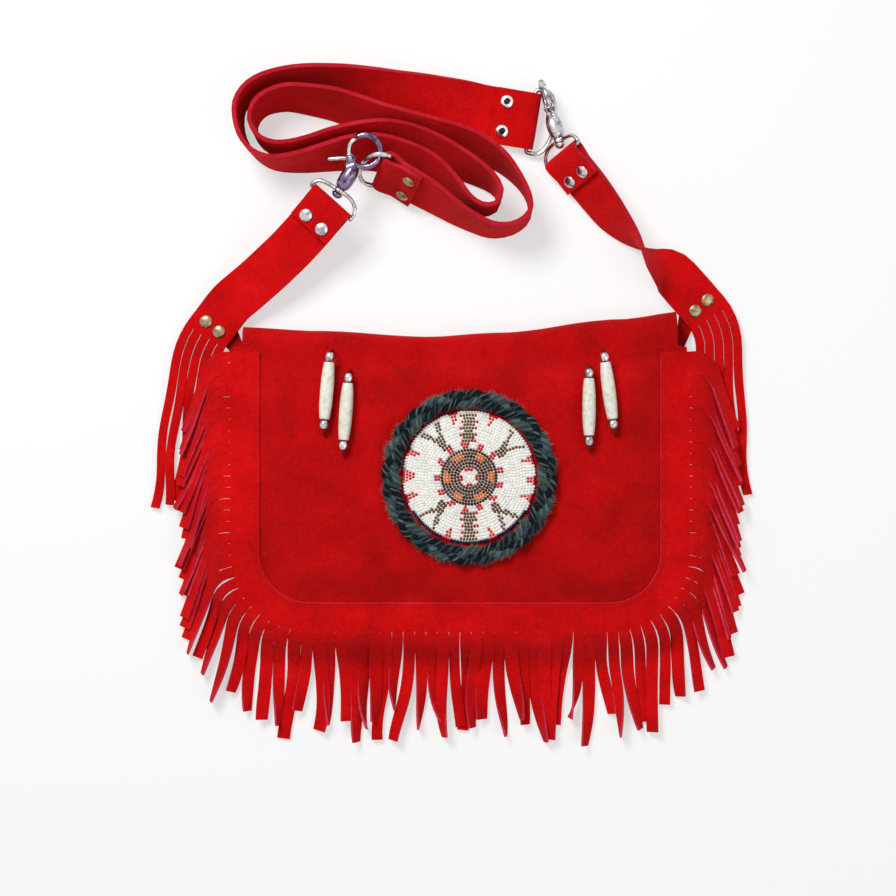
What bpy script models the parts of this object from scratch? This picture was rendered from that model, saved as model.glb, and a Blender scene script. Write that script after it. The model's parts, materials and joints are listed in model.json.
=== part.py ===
# Fringed suede shoulder bag, lying on its back with its long strap coiled above it.
# Metres, +Z up out of the bag's front, +Y towards the bag's top, origin at the middle of the footprint.

import math

import bmesh
import bpy
from mathutils import Matrix, Vector

# Suede shell
SUEDE = 0.0018  # thickness of the panels, the flap and the gusset
GAP = 0.0003  # clearance between pieces that touch
BAG_CENTRE_X = 0.006
BODY_HALF_WIDTH = 0.131
BODY_BOTTOM = -0.127
BODY_CORNER = 0.044
MOUTH = 0.012  # the front panel's top edge
GUSSET_WIDTH = 0.012
GUSSET_INSET = 0.0012
CROWN = 0.0068  # how far the filled front stands above its border
BORDER = 0.012  # flat border inside a panel's edge
SLOPE = 0.026  # width of the slope from the border to the flat middle

# Flap
HINGE_Y = 0.033
FLAP_SIDE_OVER = 0.0055  # how far the flap reaches past the body at its sides and at its bottom
FLAP_BOTTOM_OVER = 0.0095
FLAP_CORNER_OVER = 0.0025
FLAP_HALF_WIDTH = BODY_HALF_WIDTH + FLAP_SIDE_OVER
FLAP_BOTTOM = BODY_BOTTOM - FLAP_BOTTOM_OVER
FLAP_CORNER = BODY_CORNER + FLAP_CORNER_OVER
FLAP_TOP_SHARE = 0.53  # the slope under the hinge is shorter than the others by this share
FLAP_LIFT = 0.0012  # the flap's middle stands higher over the front than its border does
SPINE_REACH = [  # across the bag, and how far the spine bulges past the hinge line there
    (-0.132, 0.0105), (-0.080, 0.0080), (-0.012, 0.0045), (0.030, 0.0070), (0.102, 0.0150), (0.144, 0.0200),
]
SPINE_STEPS = 6
SPINE_LEDGE = 0.0014  # flat run of the spine's top behind the hinge line

# Fringe on the flap
FRINGE_THICK = 0.0014
FRINGE_BAND = 0.016  # how far its sewn band reaches in over the flap
FRINGE_OVERHANG = 0.0015
BAND_ROOM = 0.0002  # extra clearance under the band's inner edge
FRINGE_TOP = 0.020
STRIP_PITCH = 0.0068
STRIP_SLIT = 0.0005
STRIP_LENGTH = 0.0610
STRIP_SPREAD = 0.0050  # how much the strips' lengths differ
STRIP_STEPS = 4
SIDE_SPLAY = 20.0  # degrees between a side strip's end and straight down
TURN_LENGTH = 0.024
DROP_LENGTH = 0.026
OVER_TAB_Y = -0.060  # side strips that start above this line lie over the tabs' strips

# Straps and tabs
STRAP_WIDTH = 0.034
STRAP_THICK = 0.0026
STRAP_STEP = 0.0105
TAIL_LENGTH = 0.022
FOLD_CLEAR = 0.002
EASE_START = 0.008  # past a folded tail the strap keeps its offset this far, then eases back
EASE_LENGTH = 0.020
TAB_WIDTH = 0.028
TAB_THICK = 0.0024
TAB_STEP = 0.0126
TAB_TAIL = 0.019
TAB_STRIPS = 5
TAB_STRIP_LENGTH = 0.084
TAB_STRIP_SPREAD = 0.10  # share by which the tabs' strips differ in length
FOLD_RISE = 0.009  # from the bar to where the folded layers lie together

# Metal
RING_WIRE = 0.0016  # D-ring wire radius
RING_LEG = 0.006
RING_DEPTH = 0.009
RING_CORNER = 0.0012
LOOP_WIRE = 0.0013
CLAW_RADIUS = 0.0095
CLAW_WIRE = 0.0019
GATE_WIRE = 0.00145
HOOK_LENGTH = 0.033  # from the head of the swivel to the middle of the claw
HEAD_RADIUS = 0.0036
SHANK_RADIUS = 0.0015
EYE_RADIUS = 0.0034
EYE_LENGTH = 0.0028
EYE_SETBACK = 0.0050  # from the head of the swivel back to its eye
BODY_RADIUS = 0.0050
PIN_RADIUS = 0.0009
PIN_CLEARANCE = 0.00025
KNUCKLE_RADIUS = 0.0024
KNUCKLE_THICK = 0.0026
FORK_WALL = 0.0011
SLOT_CLEARANCE = 0.0003
PIVOT_ANGLE = 150.0  # degrees round the claw from its far point
NOSE_ANGLE = 70.0
LEVER_LENGTH = 0.0150
LEVER_ANGLE = 121.0
RIVET_RADIUS = 0.0042
RIVET_HEIGHT = 0.0016
POST_RADIUS = 0.0013
HOLE_CLEARANCE = 0.00035
HOLE_SPARE = 0.0015  # how far a hole's cutter passes the layers at each end
HOLE_REACH = 2 * (2 * STRAP_THICK + GAP + HOLE_SPARE)

# Trim
PIPE_LENGTH = 0.0342
PIPE_MIDDLE = 0.0045
PIPE_END = 0.0033
BORE = 0.0013
BEAD_RADIUS = 0.0031
BEAD_LENGTH = 0.0056
LACE_RADIUS = 0.0009
LACE_STOP = 0.0028  # the lace turns down this far past the beads
TRIM_GAP = 0.0002
ROSETTE_X, ROSETTE_Y = 0.0114, -0.0450
ROSETTE_RADIUS = 0.0396
ROSETTE_HEIGHT = 0.0024
RIDGES = 6
RIDGE_DEPTH = 0.0006
BRAID_RADIUS = 0.0467  # middle of the braided ring
BRAID_HALF = 0.0064
BRAID_HEIGHT = 0.0075
BRAID_LOBES = 24

STRAP_FACE = -1.0  # the strap's folded tails lie on the face that shows from above
# Middle line of the long strap: x, y, roll in degrees, lift off the table
STRAP_ROUTE = [
    (0.0486, 0.1707, 172, 0.0023), (0.0356, 0.1729, 172, 0.0023), (0.0226, 0.1751, 172, 0.0023),
    (0.0060, 0.1784, 160, 0.0008), (-0.0110, 0.1819, 147, 0.0), (-0.0342, 0.1860, 136, 0.0),
    (-0.0600, 0.1917, 120, 0.0), (-0.0858, 0.1947, 108, 0.0), (-0.1056, 0.1938, 100, 0.0),
    (-0.1188, 0.1884, 97, 0.0), (-0.1262, 0.1794, 95, 0.0), (-0.1273, 0.1692, 93, 0.0), (-0.1245, 0.1584, 92, 0.0),
    (-0.1176, 0.1496, 90, 0.0), (-0.1062, 0.1442, 85, 0.0), (-0.0900, 0.1447, 78, 0.0), (-0.0750, 0.1474, 71, 0.0),
    (-0.0600, 0.1502, 63, 0.0), (-0.0450, 0.1506, 59, 0.0), (-0.0300, 0.1470, 58, 0.0), (-0.0132, 0.1398, 61, 0.0),
    (0.0012, 0.1282, 70, 0.0), (0.0096, 0.1202, 78, 0.0), (0.0186, 0.1160, 84, 0.0), (0.0268, 0.1172, 88, 0.0),
    (0.0300, 0.1236, 92, 0.0), (0.0266, 0.1304, 98, 0.0), (0.0174, 0.1374, 106, 0.0), (0.0030, 0.1449, 115, 0.0),
    (-0.0120, 0.1518, 121, 0.0), (-0.0288, 0.1575, 122, 0.0), (-0.0450, 0.1592, 120, 0.0), (-0.0660, 0.1570, 113, 0.0),
    (-0.0840, 0.1533, 105, 0.0), (-0.1002, 0.1519, 98, 0.0), (-0.1116, 0.1555, 93, 0.0), (-0.1178, 0.1632, 90, 0.0),
    (-0.1182, 0.1710, 86, 0.0), (-0.1126, 0.1788, 80, 0.0), (-0.1014, 0.1830, 74, 0.0), (-0.0900, 0.1829, 70, 0.0),
    (-0.0720, 0.1800, 66, 0.0), (-0.0600, 0.1762, 64, 0.0), (-0.0468, 0.1711, 62, 0.0), (-0.0300, 0.1658, 60, 0.0),
    (-0.0120, 0.1610, 60, 0.0), (0.0066, 0.1563, 63, 0.0), (0.0192, 0.1518, 69, 0.0), (0.0312, 0.1446, 78, 0.0),
    (0.0408, 0.1344, 86, 0.0), (0.0468, 0.1248, 90, 0.0), (0.0486, 0.1164, 91, 0.0), (0.0450, 0.1092, 93, 0.0),
    (0.0366, 0.1044, 95, 0.0), (0.0252, 0.1038, 98, 0.0), (0.0126, 0.1088, 102, 0.0), (0.0000, 0.1156, 107, 0.0015),
    (-0.0168, 0.1250, 115, 0.0038), (-0.0279, 0.1318, 115, 0.0038), (-0.0390, 0.1385, 115, 0.0038),
]
# Middle lines of the tabs: x, y, z, roll in degrees; the upper ends hang on the hooks' loops
TAB_LEFT_TOP = [
    (-0.0720, 0.1176, 0.0285, 0), (-0.0792, 0.1095, 0.0263, 0), (-0.0864, 0.1014, 0.0241, 0),
    (-0.0992, 0.0885, 0.0195, 2),
]
TAB_RIGHT_TOP = [
    (0.0687, 0.1475, 0.0155, 47), (0.0756, 0.1389, 0.0150, 47), (0.0825, 0.1303, 0.0145, 47),
    (0.0970, 0.1130, 0.0140, 56),
]
LEFT_LUG_OUT = 0.0165  # from the body's side out to the middle of the lug's rivets
RIGHT_LUG_OUT = 0.0140
LEFT_LUG = (BAG_CENTRE_X - BODY_HALF_WIDTH - LEFT_LUG_OUT, 0.0495)  # where each tab is riveted to its lug
RIGHT_LUG = (BAG_CENTRE_X + BODY_HALF_WIDTH + RIGHT_LUG_OUT, 0.0605)
# The tabs' lower ends, with x and y measured from their lugs
TAB_LEFT_LOW = [
    (0.0270, 0.0257, 0.0135, 3), (0.0160, 0.0169, 0.0092, 2), (0.0080, 0.0102, 0.0068, 0), (0.0, 0.0, 0.0054, 0),
    (-0.0074, -0.0095, 0.0042, 0), (-0.0125, -0.0205, 0.0036, 0), (-0.0150, -0.0325, 0.0034, 0),
]
TAB_RIGHT_LOW = [
    (-0.0390, 0.0365, 0.0147, 84), (-0.0265, 0.0240, 0.0140, 128), (-0.0165, 0.0175, 0.0098, 168),
    (-0.0087, 0.0095, 0.0073, 180), (0.0, 0.0, 0.0055, 180), (0.0078, -0.0095, 0.0041, 180),
    (0.0120, -0.0210, 0.0036, 180), (0.0127, -0.0330, 0.0034, 180),
]
LUG_NEAR = 0.0095  # how far a lug reaches from there, towards the bag and away from it
LUG_FAR = 0.0110
LUG_HALF_LENGTH = 0.0068
LUG_ROOT = 0.012  # length of the bag's side that a lug grows from
LUG_RIVET_SPREAD = 0.0100
LUG_SHIFT = 0.35  # share of a row by which the rivets lie past the tab's nearest row
LEFT_FRINGE_HEADING = -95.0  # degrees from +X, at the middle of the tab's strips
RIGHT_FRINGE_HEADING = -88.0
TAB_FRINGE_FAN = 4.0
TAB_RIVET_SPREAD = 0.0125
TAB_RIVET_AT = 0.0137  # distances from the bar in the fold
STRAP_RIVET_SPREAD = 0.018
STRAP_RIVET_AT = 0.0158
GUSSET_STEP = 0.012
GUSSET_END = 0.006  # the gusset stops this far short of the hinge line

# Each hook: middle of its claw, heading and pitch of its axis, roll of the claw about the axis
LEFT_HOOK = ((-0.0507, 0.1490, 0.0334), 56.9, 7.0, 0.0)
RIGHT_HOOK = ((0.0577, 0.1841, 0.0126), 106.7, -6.0, 90.0)
LEFT_RING_SWING = 25.0
RIGHT_RING_SWING = 0.0

PIPES = [
    (-0.0719, 0.0236, -0.0748, -0.0106), (-0.0607, 0.0110, -0.0633, -0.0228),
    (0.0827, 0.0139, 0.0827, -0.0202), (0.0923, 0.0238, 0.0968, -0.0107),
]

bag = None
helpers = None
finish = {}


# Scene and materials

def clear_scene():
    for obj in list(bpy.data.objects):
        bpy.data.objects.remove(obj, do_unlink=True)


def new_collection(name):
    made = bpy.data.collections.new(name)
    bpy.context.scene.collection.children.link(made)
    return made


def add_finish(name, colour, roughness, metallic=0.0):
    material = bpy.data.materials.new(name)
    material.use_nodes = True
    shader = material.node_tree.nodes["Principled BSDF"]
    shader.inputs["Base Color"].default_value = (*colour, 1.0)
    shader.inputs["Roughness"].default_value = roughness
    shader.inputs["Metallic"].default_value = metallic
    material.diffuse_color = (*colour, 1.0)
    finish[name] = material


def add_finishes():
    add_finish("red_suede", (0.60, 0.008, 0.010), 0.9)
    add_finish("lace_leather", (0.35, 0.02, 0.02), 0.8)
    add_finish("steel", (0.62, 0.60, 0.62), 0.3, 1.0)
    add_finish("hook_steel", (0.30, 0.25, 0.32), 0.3, 1.0)
    add_finish("old_brass", (0.45, 0.33, 0.18), 0.4, 1.0)
    add_finish("bone", (0.85, 0.82, 0.72), 0.35)
    add_finish("seed_beads", (0.82, 0.82, 0.78), 0.3)
    add_finish("braid_yarn", (0.06, 0.11, 0.12), 0.9)


def add_piece(name, mesh, slot, smooth=None):
    obj = bpy.data.objects.new(name, mesh)
    bag.objects.link(obj)
    mesh.materials.clear()
    mesh.materials.append(finish[slot])
    if smooth:
        mesh.shade_smooth()
        mesh.set_sharp_from_angle(angle=math.radians(smooth))
    return obj


def add_helper(name, mesh):
    obj = bpy.data.objects.new(name, mesh)
    helpers.objects.link(obj)
    obj.hide_render = True
    obj.display_type = "WIRE"
    return obj


def mesh_of(name, bm):
    mesh = bpy.data.meshes.new(name)
    bm.to_mesh(mesh)
    bm.free()
    return mesh


def thicken(obj, thick, offset=0.0):
    solid = obj.modifiers.new("thickness", "SOLIDIFY")
    solid.thickness = thick
    solid.offset = offset
    solid.use_even_offset = True


def triangulate(obj):
    """Flat faces for the cuts that follow."""
    obj.modifiers.new("flat_faces", "TRIANGULATE")


def cut(obj, cutter, operation="DIFFERENCE"):
    boolean = obj.modifiers.new(cutter.name, "BOOLEAN")
    boolean.operation = operation
    boolean.solver = "EXACT"
    boolean.object = cutter


def settled_mesh(obj):
    """The object's mesh with its modifiers applied, in world space; the object is removed."""
    bpy.context.view_layer.update()
    graph = bpy.context.evaluated_depsgraph_get()
    mesh = bpy.data.meshes.new_from_object(obj.evaluated_get(graph))
    mesh.transform(obj.matrix_world)
    name = obj.name
    bpy.data.objects.remove(obj, do_unlink=True)
    mesh.name = name
    return mesh


def tube_mesh(name, points, radius, closed=False, sides=2):
    """A round wire through the points."""
    curve = bpy.data.curves.new(name, "CURVE")
    curve.dimensions = "3D"
    spline = curve.splines.new("POLY")
    spline.points.add(len(points) - 1)
    for spot, point in zip(spline.points, points):
        spot.co = (*point, 1.0)
    spline.use_cyclic_u = closed
    curve.bevel_depth = radius
    curve.bevel_resolution = sides
    curve.use_fill_caps = not closed
    obj = bpy.data.objects.new(name, curve)
    helpers.objects.link(obj)
    mesh = settled_mesh(obj)
    bpy.data.curves.remove(curve)
    bm = bmesh.new()
    bm.from_mesh(mesh)
    bmesh.ops.remove_doubles(bm, verts=bm.verts, dist=1e-6)
    bmesh.ops.triangulate(bm, faces=bm.faces)
    bm.to_mesh(mesh)
    bm.free()
    return mesh


def turned_mesh(name, profile, steps, closed=False):
    """Turns the profile, pairs of radius and height from top to bottom, round Z."""
    bm = bmesh.new()
    spots = [bm.verts.new((radius, 0.0, height)) for radius, height in profile]
    for one, two in zip(spots, spots[1:]):
        bm.edges.new((one, two))
    if closed:
        bm.edges.new((spots[-1], spots[0]))
    obj = bpy.data.objects.new(name, mesh_of(name, bm))
    helpers.objects.link(obj)
    screw = obj.modifiers.new("turn", "SCREW")
    screw.steps = steps
    screw.render_steps = steps
    screw.use_merge_vertices = True
    screw.merge_threshold = 0.00002
    return settled_mesh(obj)


def cylinder_mesh(name, radius, depth, matrix, sides=12):
    bm = bmesh.new()
    bmesh.ops.create_cone(
        bm, cap_ends=True, segments=sides, radius1=radius, radius2=radius, depth=depth, matrix=matrix
    )
    return mesh_of(name, bm)


def aim(origin, along, side=None):
    """A matrix at the origin with its Z along the direction given, and its X near the side given."""
    z = Vector(along).normalized()
    x = Vector(side) if side is not None else (Vector((0, 0, 1)) if abs(z.z) < 0.9 else Vector((1, 0, 0)))
    x = (x - z * x.dot(z)).normalized()
    y = z.cross(x)
    turn = Matrix((x, y, z)).transposed().to_4x4()
    return Matrix.Translation(Vector(origin)) @ turn


# Panels: rings of points at growing insets from one outline, each ring at its own height

def outline_points(half_width, top, bottom, corner, inset, top_share, closed_top):
    """One ring, from the top left corner down, along the bottom and up to the top right corner."""
    x = half_width - inset
    y_top = top - inset * top_share
    y_low = bottom + inset
    radius = corner - inset
    points = []
    sides, arcs, floor = 5, 7, 6
    for i in range(sides):
        points.append((-x, y_top + (y_low + radius - y_top) * i / sides))
    for i in range(arcs):
        angle = math.pi * (1.0 + 0.5 * i / arcs)
        points.append((-x + radius + radius * math.cos(angle), y_low + radius + radius * math.sin(angle)))
    for i in range(floor):
        points.append((-x + radius + 2 * (x - radius) * i / floor, y_low))
    for i in range(arcs):
        angle = math.pi * (1.5 + 0.5 * i / arcs)
        points.append((x - radius + radius * math.cos(angle), y_low + radius + radius * math.sin(angle)))
    for i in range(sides + 1):
        points.append((x, y_low + radius + (y_top - y_low - radius) * i / sides))
    if closed_top:
        for i in range(1, floor):
            points.append((x - 2 * x * i / floor, y_top))
    return [Vector((px + BAG_CENTRE_X, py)) for px, py in points]


def crown_height(inset, crown):
    share = min(max((inset - BORDER) / SLOPE, 0.0), 1.0)
    return crown * share * share * (3.0 - 2.0 * share)


INSETS = [0.0, BORDER] + [BORDER + SLOPE * k / 4 for k in range(1, 5)]


def facet_height(inset, crown):
    """Height of the panel's flat facets, which run straight from one ring to the next."""
    for low, high in zip(INSETS, INSETS[1:]):
        if inset <= high:
            share = (inset - low) / (high - low)
            return crown_height(low, crown) * (1.0 - share) + crown_height(high, crown) * share
    return crown_height(inset, crown)


def pillow_surface(bm, half_width, top, bottom, corner, height, crown, top_share, closed_top):
    rings = []
    for inset in INSETS:
        z = height + crown_height(inset, crown)
        ring = outline_points(half_width, top, bottom, corner, inset, top_share, closed_top)
        rings.append([bm.verts.new((p.x, p.y, z)) for p in ring])
    for outer, inner in zip(rings, rings[1:]):
        count = len(outer)
        for i in range(count if closed_top else count - 1):
            j = (i + 1) % count
            bm.faces.new((outer[i], outer[j], inner[j], inner[i]))
    bm.faces.new(rings[-1])
    return rings


BACK_MIDDLE = SUEDE / 2
FRONT_MIDDLE = SUEDE + GAP + GUSSET_WIDTH + GAP + SUEDE / 2
FLAP_MIDDLE = FRONT_MIDDLE + SUEDE + GAP
FLAP_TOP = FLAP_MIDDLE + SUEDE / 2


def spine_reach(x):
    """How far the spine bulges past the hinge line: the fold sags in the middle of the bag."""
    for (x0, r0), (x1, r1) in zip(SPINE_REACH, SPINE_REACH[1:]):
        if x <= x1:
            share = max((x - x0) / (x1 - x0), 0.0)
            share = share * share * (3.0 - 2.0 * share)
            return r0 + (r1 - r0) * share
    return SPINE_REACH[-1][1]


def lug_corners(place, ahead, across, top, inward):
    """Corners of the lug under a tab: near and far from the bag, first behind and then ahead of the rivets."""
    middle = place - top * (TAB_THICK / 2 + GAP + SUEDE / 2)
    way = across if across.dot(inward) > 0 else -across
    return [
        middle + way * reach + ahead * LUG_HALF_LENGTH * side
        for side in (-1, 1) for reach in (LUG_NEAR, -LUG_FAR)
    ]


def make_back_panel(left_lug, right_lug, holes):
    """The back, lying on the table, the spine that rolls up to the hinge line and a lug at each top corner."""
    bm = bmesh.new()
    ring = outline_points(BODY_HALF_WIDTH, HINGE_Y, BODY_BOTTOM, BODY_CORNER, 0.0, 0.0, True)
    left_root, right_root = ring[0].copy(), ring[-6].copy()
    left_root.y -= LUG_ROOT
    right_root.y -= LUG_ROOT
    ring = ring[:1] + [left_root] + ring[1:-6] + [right_root] + ring[-6:]
    low = [bm.verts.new((p.x, p.y, BACK_MIDDLE)) for p in ring]
    bm.faces.new(low)
    for (top_spot, root_spot), lug in (((low[0], low[1]), left_lug), ((low[-6], low[-7]), right_lug)):
        near_up, far_up, near_down, far_down = [bm.verts.new(corner) for corner in lug]
        bm.faces.new((top_spot, root_spot, near_down, near_up))
        bm.faces.new((near_up, near_down, far_down, far_up))
    top_row = [low[0]] + low[:-6:-1] + [low[-6]]
    height = FLAP_MIDDLE - BACK_MIDDLE
    row = top_row
    angles = [math.pi * step / SPINE_STEPS for step in range(1, SPINE_STEPS + 1)]
    for angle in [*angles, None]:
        fresh = []
        for spot in top_row:
            x, y, z = spot.co.x, HINGE_Y + GAP / 2, FLAP_MIDDLE
            if angle is not None:
                y = HINGE_Y + SPINE_LEDGE + spine_reach(x) * math.sin(angle)
                z = BACK_MIDDLE + height * (1 - math.cos(angle)) / 2
            fresh.append(bm.verts.new((x, y, z)))
        for i in range(len(row) - 1):
            bm.faces.new((row[i], row[i + 1], fresh[i + 1], fresh[i]))
        row = fresh
    bmesh.ops.recalc_face_normals(bm, faces=bm.faces)
    obj = add_piece("back_panel", mesh_of("back_panel", bm), "red_suede", 40)
    thicken(obj, SUEDE)
    triangulate(obj)
    for hole in holes:
        cut(obj, hole)


def make_front_panel():
    bm = bmesh.new()
    pillow_surface(
        bm, BODY_HALF_WIDTH, MOUTH, BODY_BOTTOM, BODY_CORNER, FRONT_MIDDLE, CROWN, 0.0, False
    )
    thicken(add_piece("front_panel", mesh_of("front_panel", bm), "red_suede", 40), SUEDE)


def make_flap():
    bm = bmesh.new()
    pillow_surface(
        bm, FLAP_HALF_WIDTH, HINGE_Y - GAP / 2, FLAP_BOTTOM, FLAP_CORNER, FLAP_MIDDLE,
        CROWN + FLAP_LIFT, FLAP_TOP_SHARE, True
    )
    thicken(add_piece("flap", mesh_of("flap", bm), "red_suede", 40), SUEDE)


def flap_inset(x, y):
    """How far inside the flap's edge a point lies, measured as its rings are."""
    x = abs(x - BAG_CENTRE_X)
    side, low = FLAP_HALF_WIDTH - x, y - FLAP_BOTTOM
    inset = min(side, low)
    if side < FLAP_CORNER and low < FLAP_CORNER:
        inset = FLAP_CORNER - math.hypot(FLAP_CORNER - side, FLAP_CORNER - low)
    return min(inset, (HINGE_Y - y) / FLAP_TOP_SHARE)


def flap_top(x, y):
    return FLAP_TOP + facet_height(max(flap_inset(x, y), 0.0), CROWN + FLAP_LIFT)


# Ribbons: gusset, tabs and strap

def smooth_route(keys, step):
    """Catmull-Rom through the keys, read off about every step along its length."""
    keys = [tuple(float(v) for v in key) for key in keys]
    first = tuple(2 * a - b for a, b in zip(keys[0], keys[1]))
    last = tuple(2 * a - b for a, b in zip(keys[-1], keys[-2]))
    ring = [first, *keys, last]
    dense = []
    for a, b, c, d in zip(ring, ring[1:], ring[2:], ring[3:]):
        for k in range(12):
            t = k / 12
            dense.append(tuple(
                0.5 * (2 * q + (r - p) * t + (2 * p - 5 * q + 4 * r - s) * t * t + (3 * q - p - 3 * r + s) * t ** 3)
                for p, q, r, s in zip(a, b, c, d)
            ))
    dense.append(keys[-1])
    runs = [0.0]
    for one, two in zip(dense, dense[1:]):
        runs.append(runs[-1] + math.hypot(two[0] - one[0], two[1] - one[1]))
    count = max(2, round(runs[-1] / step))
    found, k = [], 0
    for i in range(count + 1):
        want = runs[-1] * i / count
        while k < len(runs) - 2 and runs[k + 1] < want:
            k += 1
        share = (want - runs[k]) / max(runs[k + 1] - runs[k], 1e-9)
        found.append(tuple(p + (q - p) * share for p, q in zip(dense[k], dense[k + 1])))
    return found


def frames_along(centres, rolls):
    """For each centre: heading, width direction and face normal, rolled round the heading."""
    frames = []
    for i, roll in enumerate(rolls):
        ahead = centres[min(i + 1, len(centres) - 1)] - centres[max(i - 1, 0)]
        ahead.normalize()
        left = Vector((-ahead.y, ahead.x, 0.0)).normalized()
        up = ahead.cross(left)
        angle = math.radians(roll)
        across = left * math.cos(angle) + up * math.sin(angle)
        frames.append((ahead, across, ahead.cross(across)))
    return frames


def fold_profile(bar_radius, thick, tail):
    """Middle line of a strap end folded round a bar, in steps along and off its face, tail end first."""
    lie = (thick + GAP) / 2
    turn = bar_radius + GAP + thick / 2
    profile = [(tail, lie), (FOLD_RISE, lie), (FOLD_RISE * 0.55, lie + (turn - lie) * 0.62), (turn * 0.5, turn)]
    for angle in (115, 150, 180, 210, 245):
        turned = math.radians(angle)
        profile.append((turn * math.cos(turned), turn * math.sin(turned)))
    profile += [(turn * 0.5, -turn), (FOLD_RISE * 0.55, -lie - (turn - lie) * 0.62), (FOLD_RISE, -lie)]
    return profile


def folded_end(centres, frames, bar_radius, thick, tail, face):
    """Rows of the folded end for a ribbon that starts at its bar; face is +1 or -1, the side of the tail."""
    into, width_way, normal = frames[0]
    rows = []
    for along, off in fold_profile(bar_radius, thick, tail):
        if along < FOLD_RISE:
            rows.append((centres[0] + into * along + normal * off * face, width_way))
        else:
            centre, _, across, side = frame_at(centres, frames, along)
            rows.append((centre + side * off * face, across))
    return rows


def plain_rows(centres, frames, start, end, eased, offset):
    """Rows of a ribbon between two distances; each row moves off the middle line by the offset times eased()."""
    rows, gone = [], 0.0
    for i, (centre, frame) in enumerate(zip(centres, frames)):
        if i:
            gone += (centre - centres[i - 1]).length
        if start < gone < end:
            rows.append((centre + frame[2] * offset * eased(gone), frame[1]))
    return rows


def ribbon_surface(bm, rows, width):
    spots = [
        (bm.verts.new(centre - across * width / 2), bm.verts.new(centre + across * width / 2))
        for centre, across in rows
    ]
    for (a, b), (c, d) in zip(spots, spots[1:]):
        bm.faces.new((a, c, d, b))
    return spots


def frame_at(centres, frames, distance):
    """Place, heading, width direction and face normal of a ribbon at a distance along it."""
    gone = 0.0
    for i in range(1, len(centres)):
        step = (centres[i] - centres[i - 1]).length
        if gone + step >= distance:
            share = (distance - gone) / step
            turned = [a.lerp(b, share).normalized() for a, b in zip(frames[i - 1], frames[i])]
            return centres[i - 1].lerp(centres[i], share), *turned
        gone += step
    return centres[-1], *frames[-1]


def strap_layout():
    keys = smooth_route(STRAP_ROUTE, STRAP_STEP)
    centres, rolls = [], []
    for x, y, roll, lift in keys:
        angle = math.radians(roll)
        half = (abs(math.sin(angle)) * STRAP_WIDTH + abs(math.cos(angle)) * STRAP_THICK) / 2
        bar_height = RING_WIRE + GAP + STRAP_THICK
        centres.append(Vector((x, y, max(half + GAP, bar_height + GAP) + lift)))
        rolls.append(roll)
    return centres, frames_along(centres, rolls)


def eased_past(tail, distance):
    """1 beside the folded tail, and 0 from a little past its end."""
    return max(0.0, 1.0 - max(distance - tail - EASE_START, 0.0) / EASE_LENGTH)


def make_long_strap(centres, frames, holes):
    lie = (STRAP_THICK + GAP) / 2
    back = [(-ahead, across, normal) for ahead, across, normal in frames]
    first = folded_end(centres, frames, RING_WIRE, STRAP_THICK, TAIL_LENGTH, STRAP_FACE)
    last = folded_end(centres[::-1], back[::-1], RING_WIRE, STRAP_THICK, TAIL_LENGTH, STRAP_FACE)
    total = sum((b - a).length for a, b in zip(centres, centres[1:]))
    start = FOLD_RISE + FOLD_CLEAR
    rows = plain_rows(
        centres, frames, start, total - start,
        lambda gone: eased_past(TAIL_LENGTH, min(gone, total - gone)), -lie * STRAP_FACE,
    )
    bm = bmesh.new()
    ribbon_surface(bm, first + rows + last[::-1], STRAP_WIDTH)
    obj = add_piece("long_strap", mesh_of("long_strap", bm), "red_suede", 50)
    thicken(obj, STRAP_THICK)
    triangulate(obj)
    for hole in holes:
        cut(obj, hole)


def tab_end(bm, spots, rows, heading, floor):
    """Cuts the tab's lower end into strips that fan out and settle on the table."""
    centre, across = rows[-1]
    before = rows[-2][0]
    ahead = (centre - before).normalized()
    strip = (TAB_WIDTH - STRIP_SLIT * (TAB_STRIPS - 1)) / TAB_STRIPS
    low, high = spots[-1]
    edge = [low]
    roots = []
    for k in range(TAB_STRIPS):
        start = -TAB_WIDTH / 2 + k * (strip + STRIP_SLIT)
        pair = []
        for place in (start, start + strip):
            if k == 0 and place == start:
                pair.append(low)
            elif k == TAB_STRIPS - 1 and place != start:
                pair.append(high)
            else:
                pair.append(bm.verts.new(centre + across * place))
                edge.append(pair[-1])
        roots.append((pair, start + strip / 2))
    edge.append(high)
    bm.faces.remove(next(f for f in low.link_faces if high in f.verts))
    one, two = spots[-2]
    bm.faces.new((one, *edge, two))
    side = Vector((across.x, across.y, 0.0)).normalized()
    turn = 1.0 if (ahead.x * side.y - ahead.y * side.x) > 0 else -1.0
    for k, (pair, place) in enumerate(roots):
        share = place / (TAB_WIDTH / 2)
        aimed = math.radians(heading + TAB_FRINGE_FAN * share * turn)
        end = Vector((math.cos(aimed), math.sin(aimed), 0.0))
        start = Vector((ahead.x, ahead.y, 0.0)).normalized()
        spot = centre + across * place
        length = TAB_STRIP_LENGTH * (1.0 - TAB_STRIP_SPREAD * ((k * 2) % TAB_STRIPS) / TAB_STRIPS)
        last = pair
        steps = 6
        for i in range(1, steps + 1):
            s = i / steps
            way = start.lerp(end, min(1.0, 2.0 * s)).normalized()
            spot = spot + way * length / steps
            fall = min(1.0, s * 3.0)
            fall = fall * fall * (3 - 2 * fall)
            normal = Vector((-way.y, way.x, 0.0)) * turn
            level = across.lerp(normal, min(1.0, 3.0 * s)).normalized()
            at = Vector((spot.x, spot.y, centre.z + across.z * place * (1 - fall) - (centre.z - floor) * fall))
            pair_now = [bm.verts.new(at - level * strip / 2), bm.verts.new(at + level * strip / 2)]
            bm.faces.new((last[0], pair_now[0], pair_now[1], last[1]))
            last = pair_now


def tab_layout(top, low, lug):
    route = top + [(lug[0] + x, lug[1] + y, z, roll) for x, y, z, roll in low]
    keys = smooth_route(route, TAB_STEP)
    centres = [Vector(key[:3]) for key in keys]
    return centres, frames_along(centres, [key[3] for key in keys])


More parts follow.
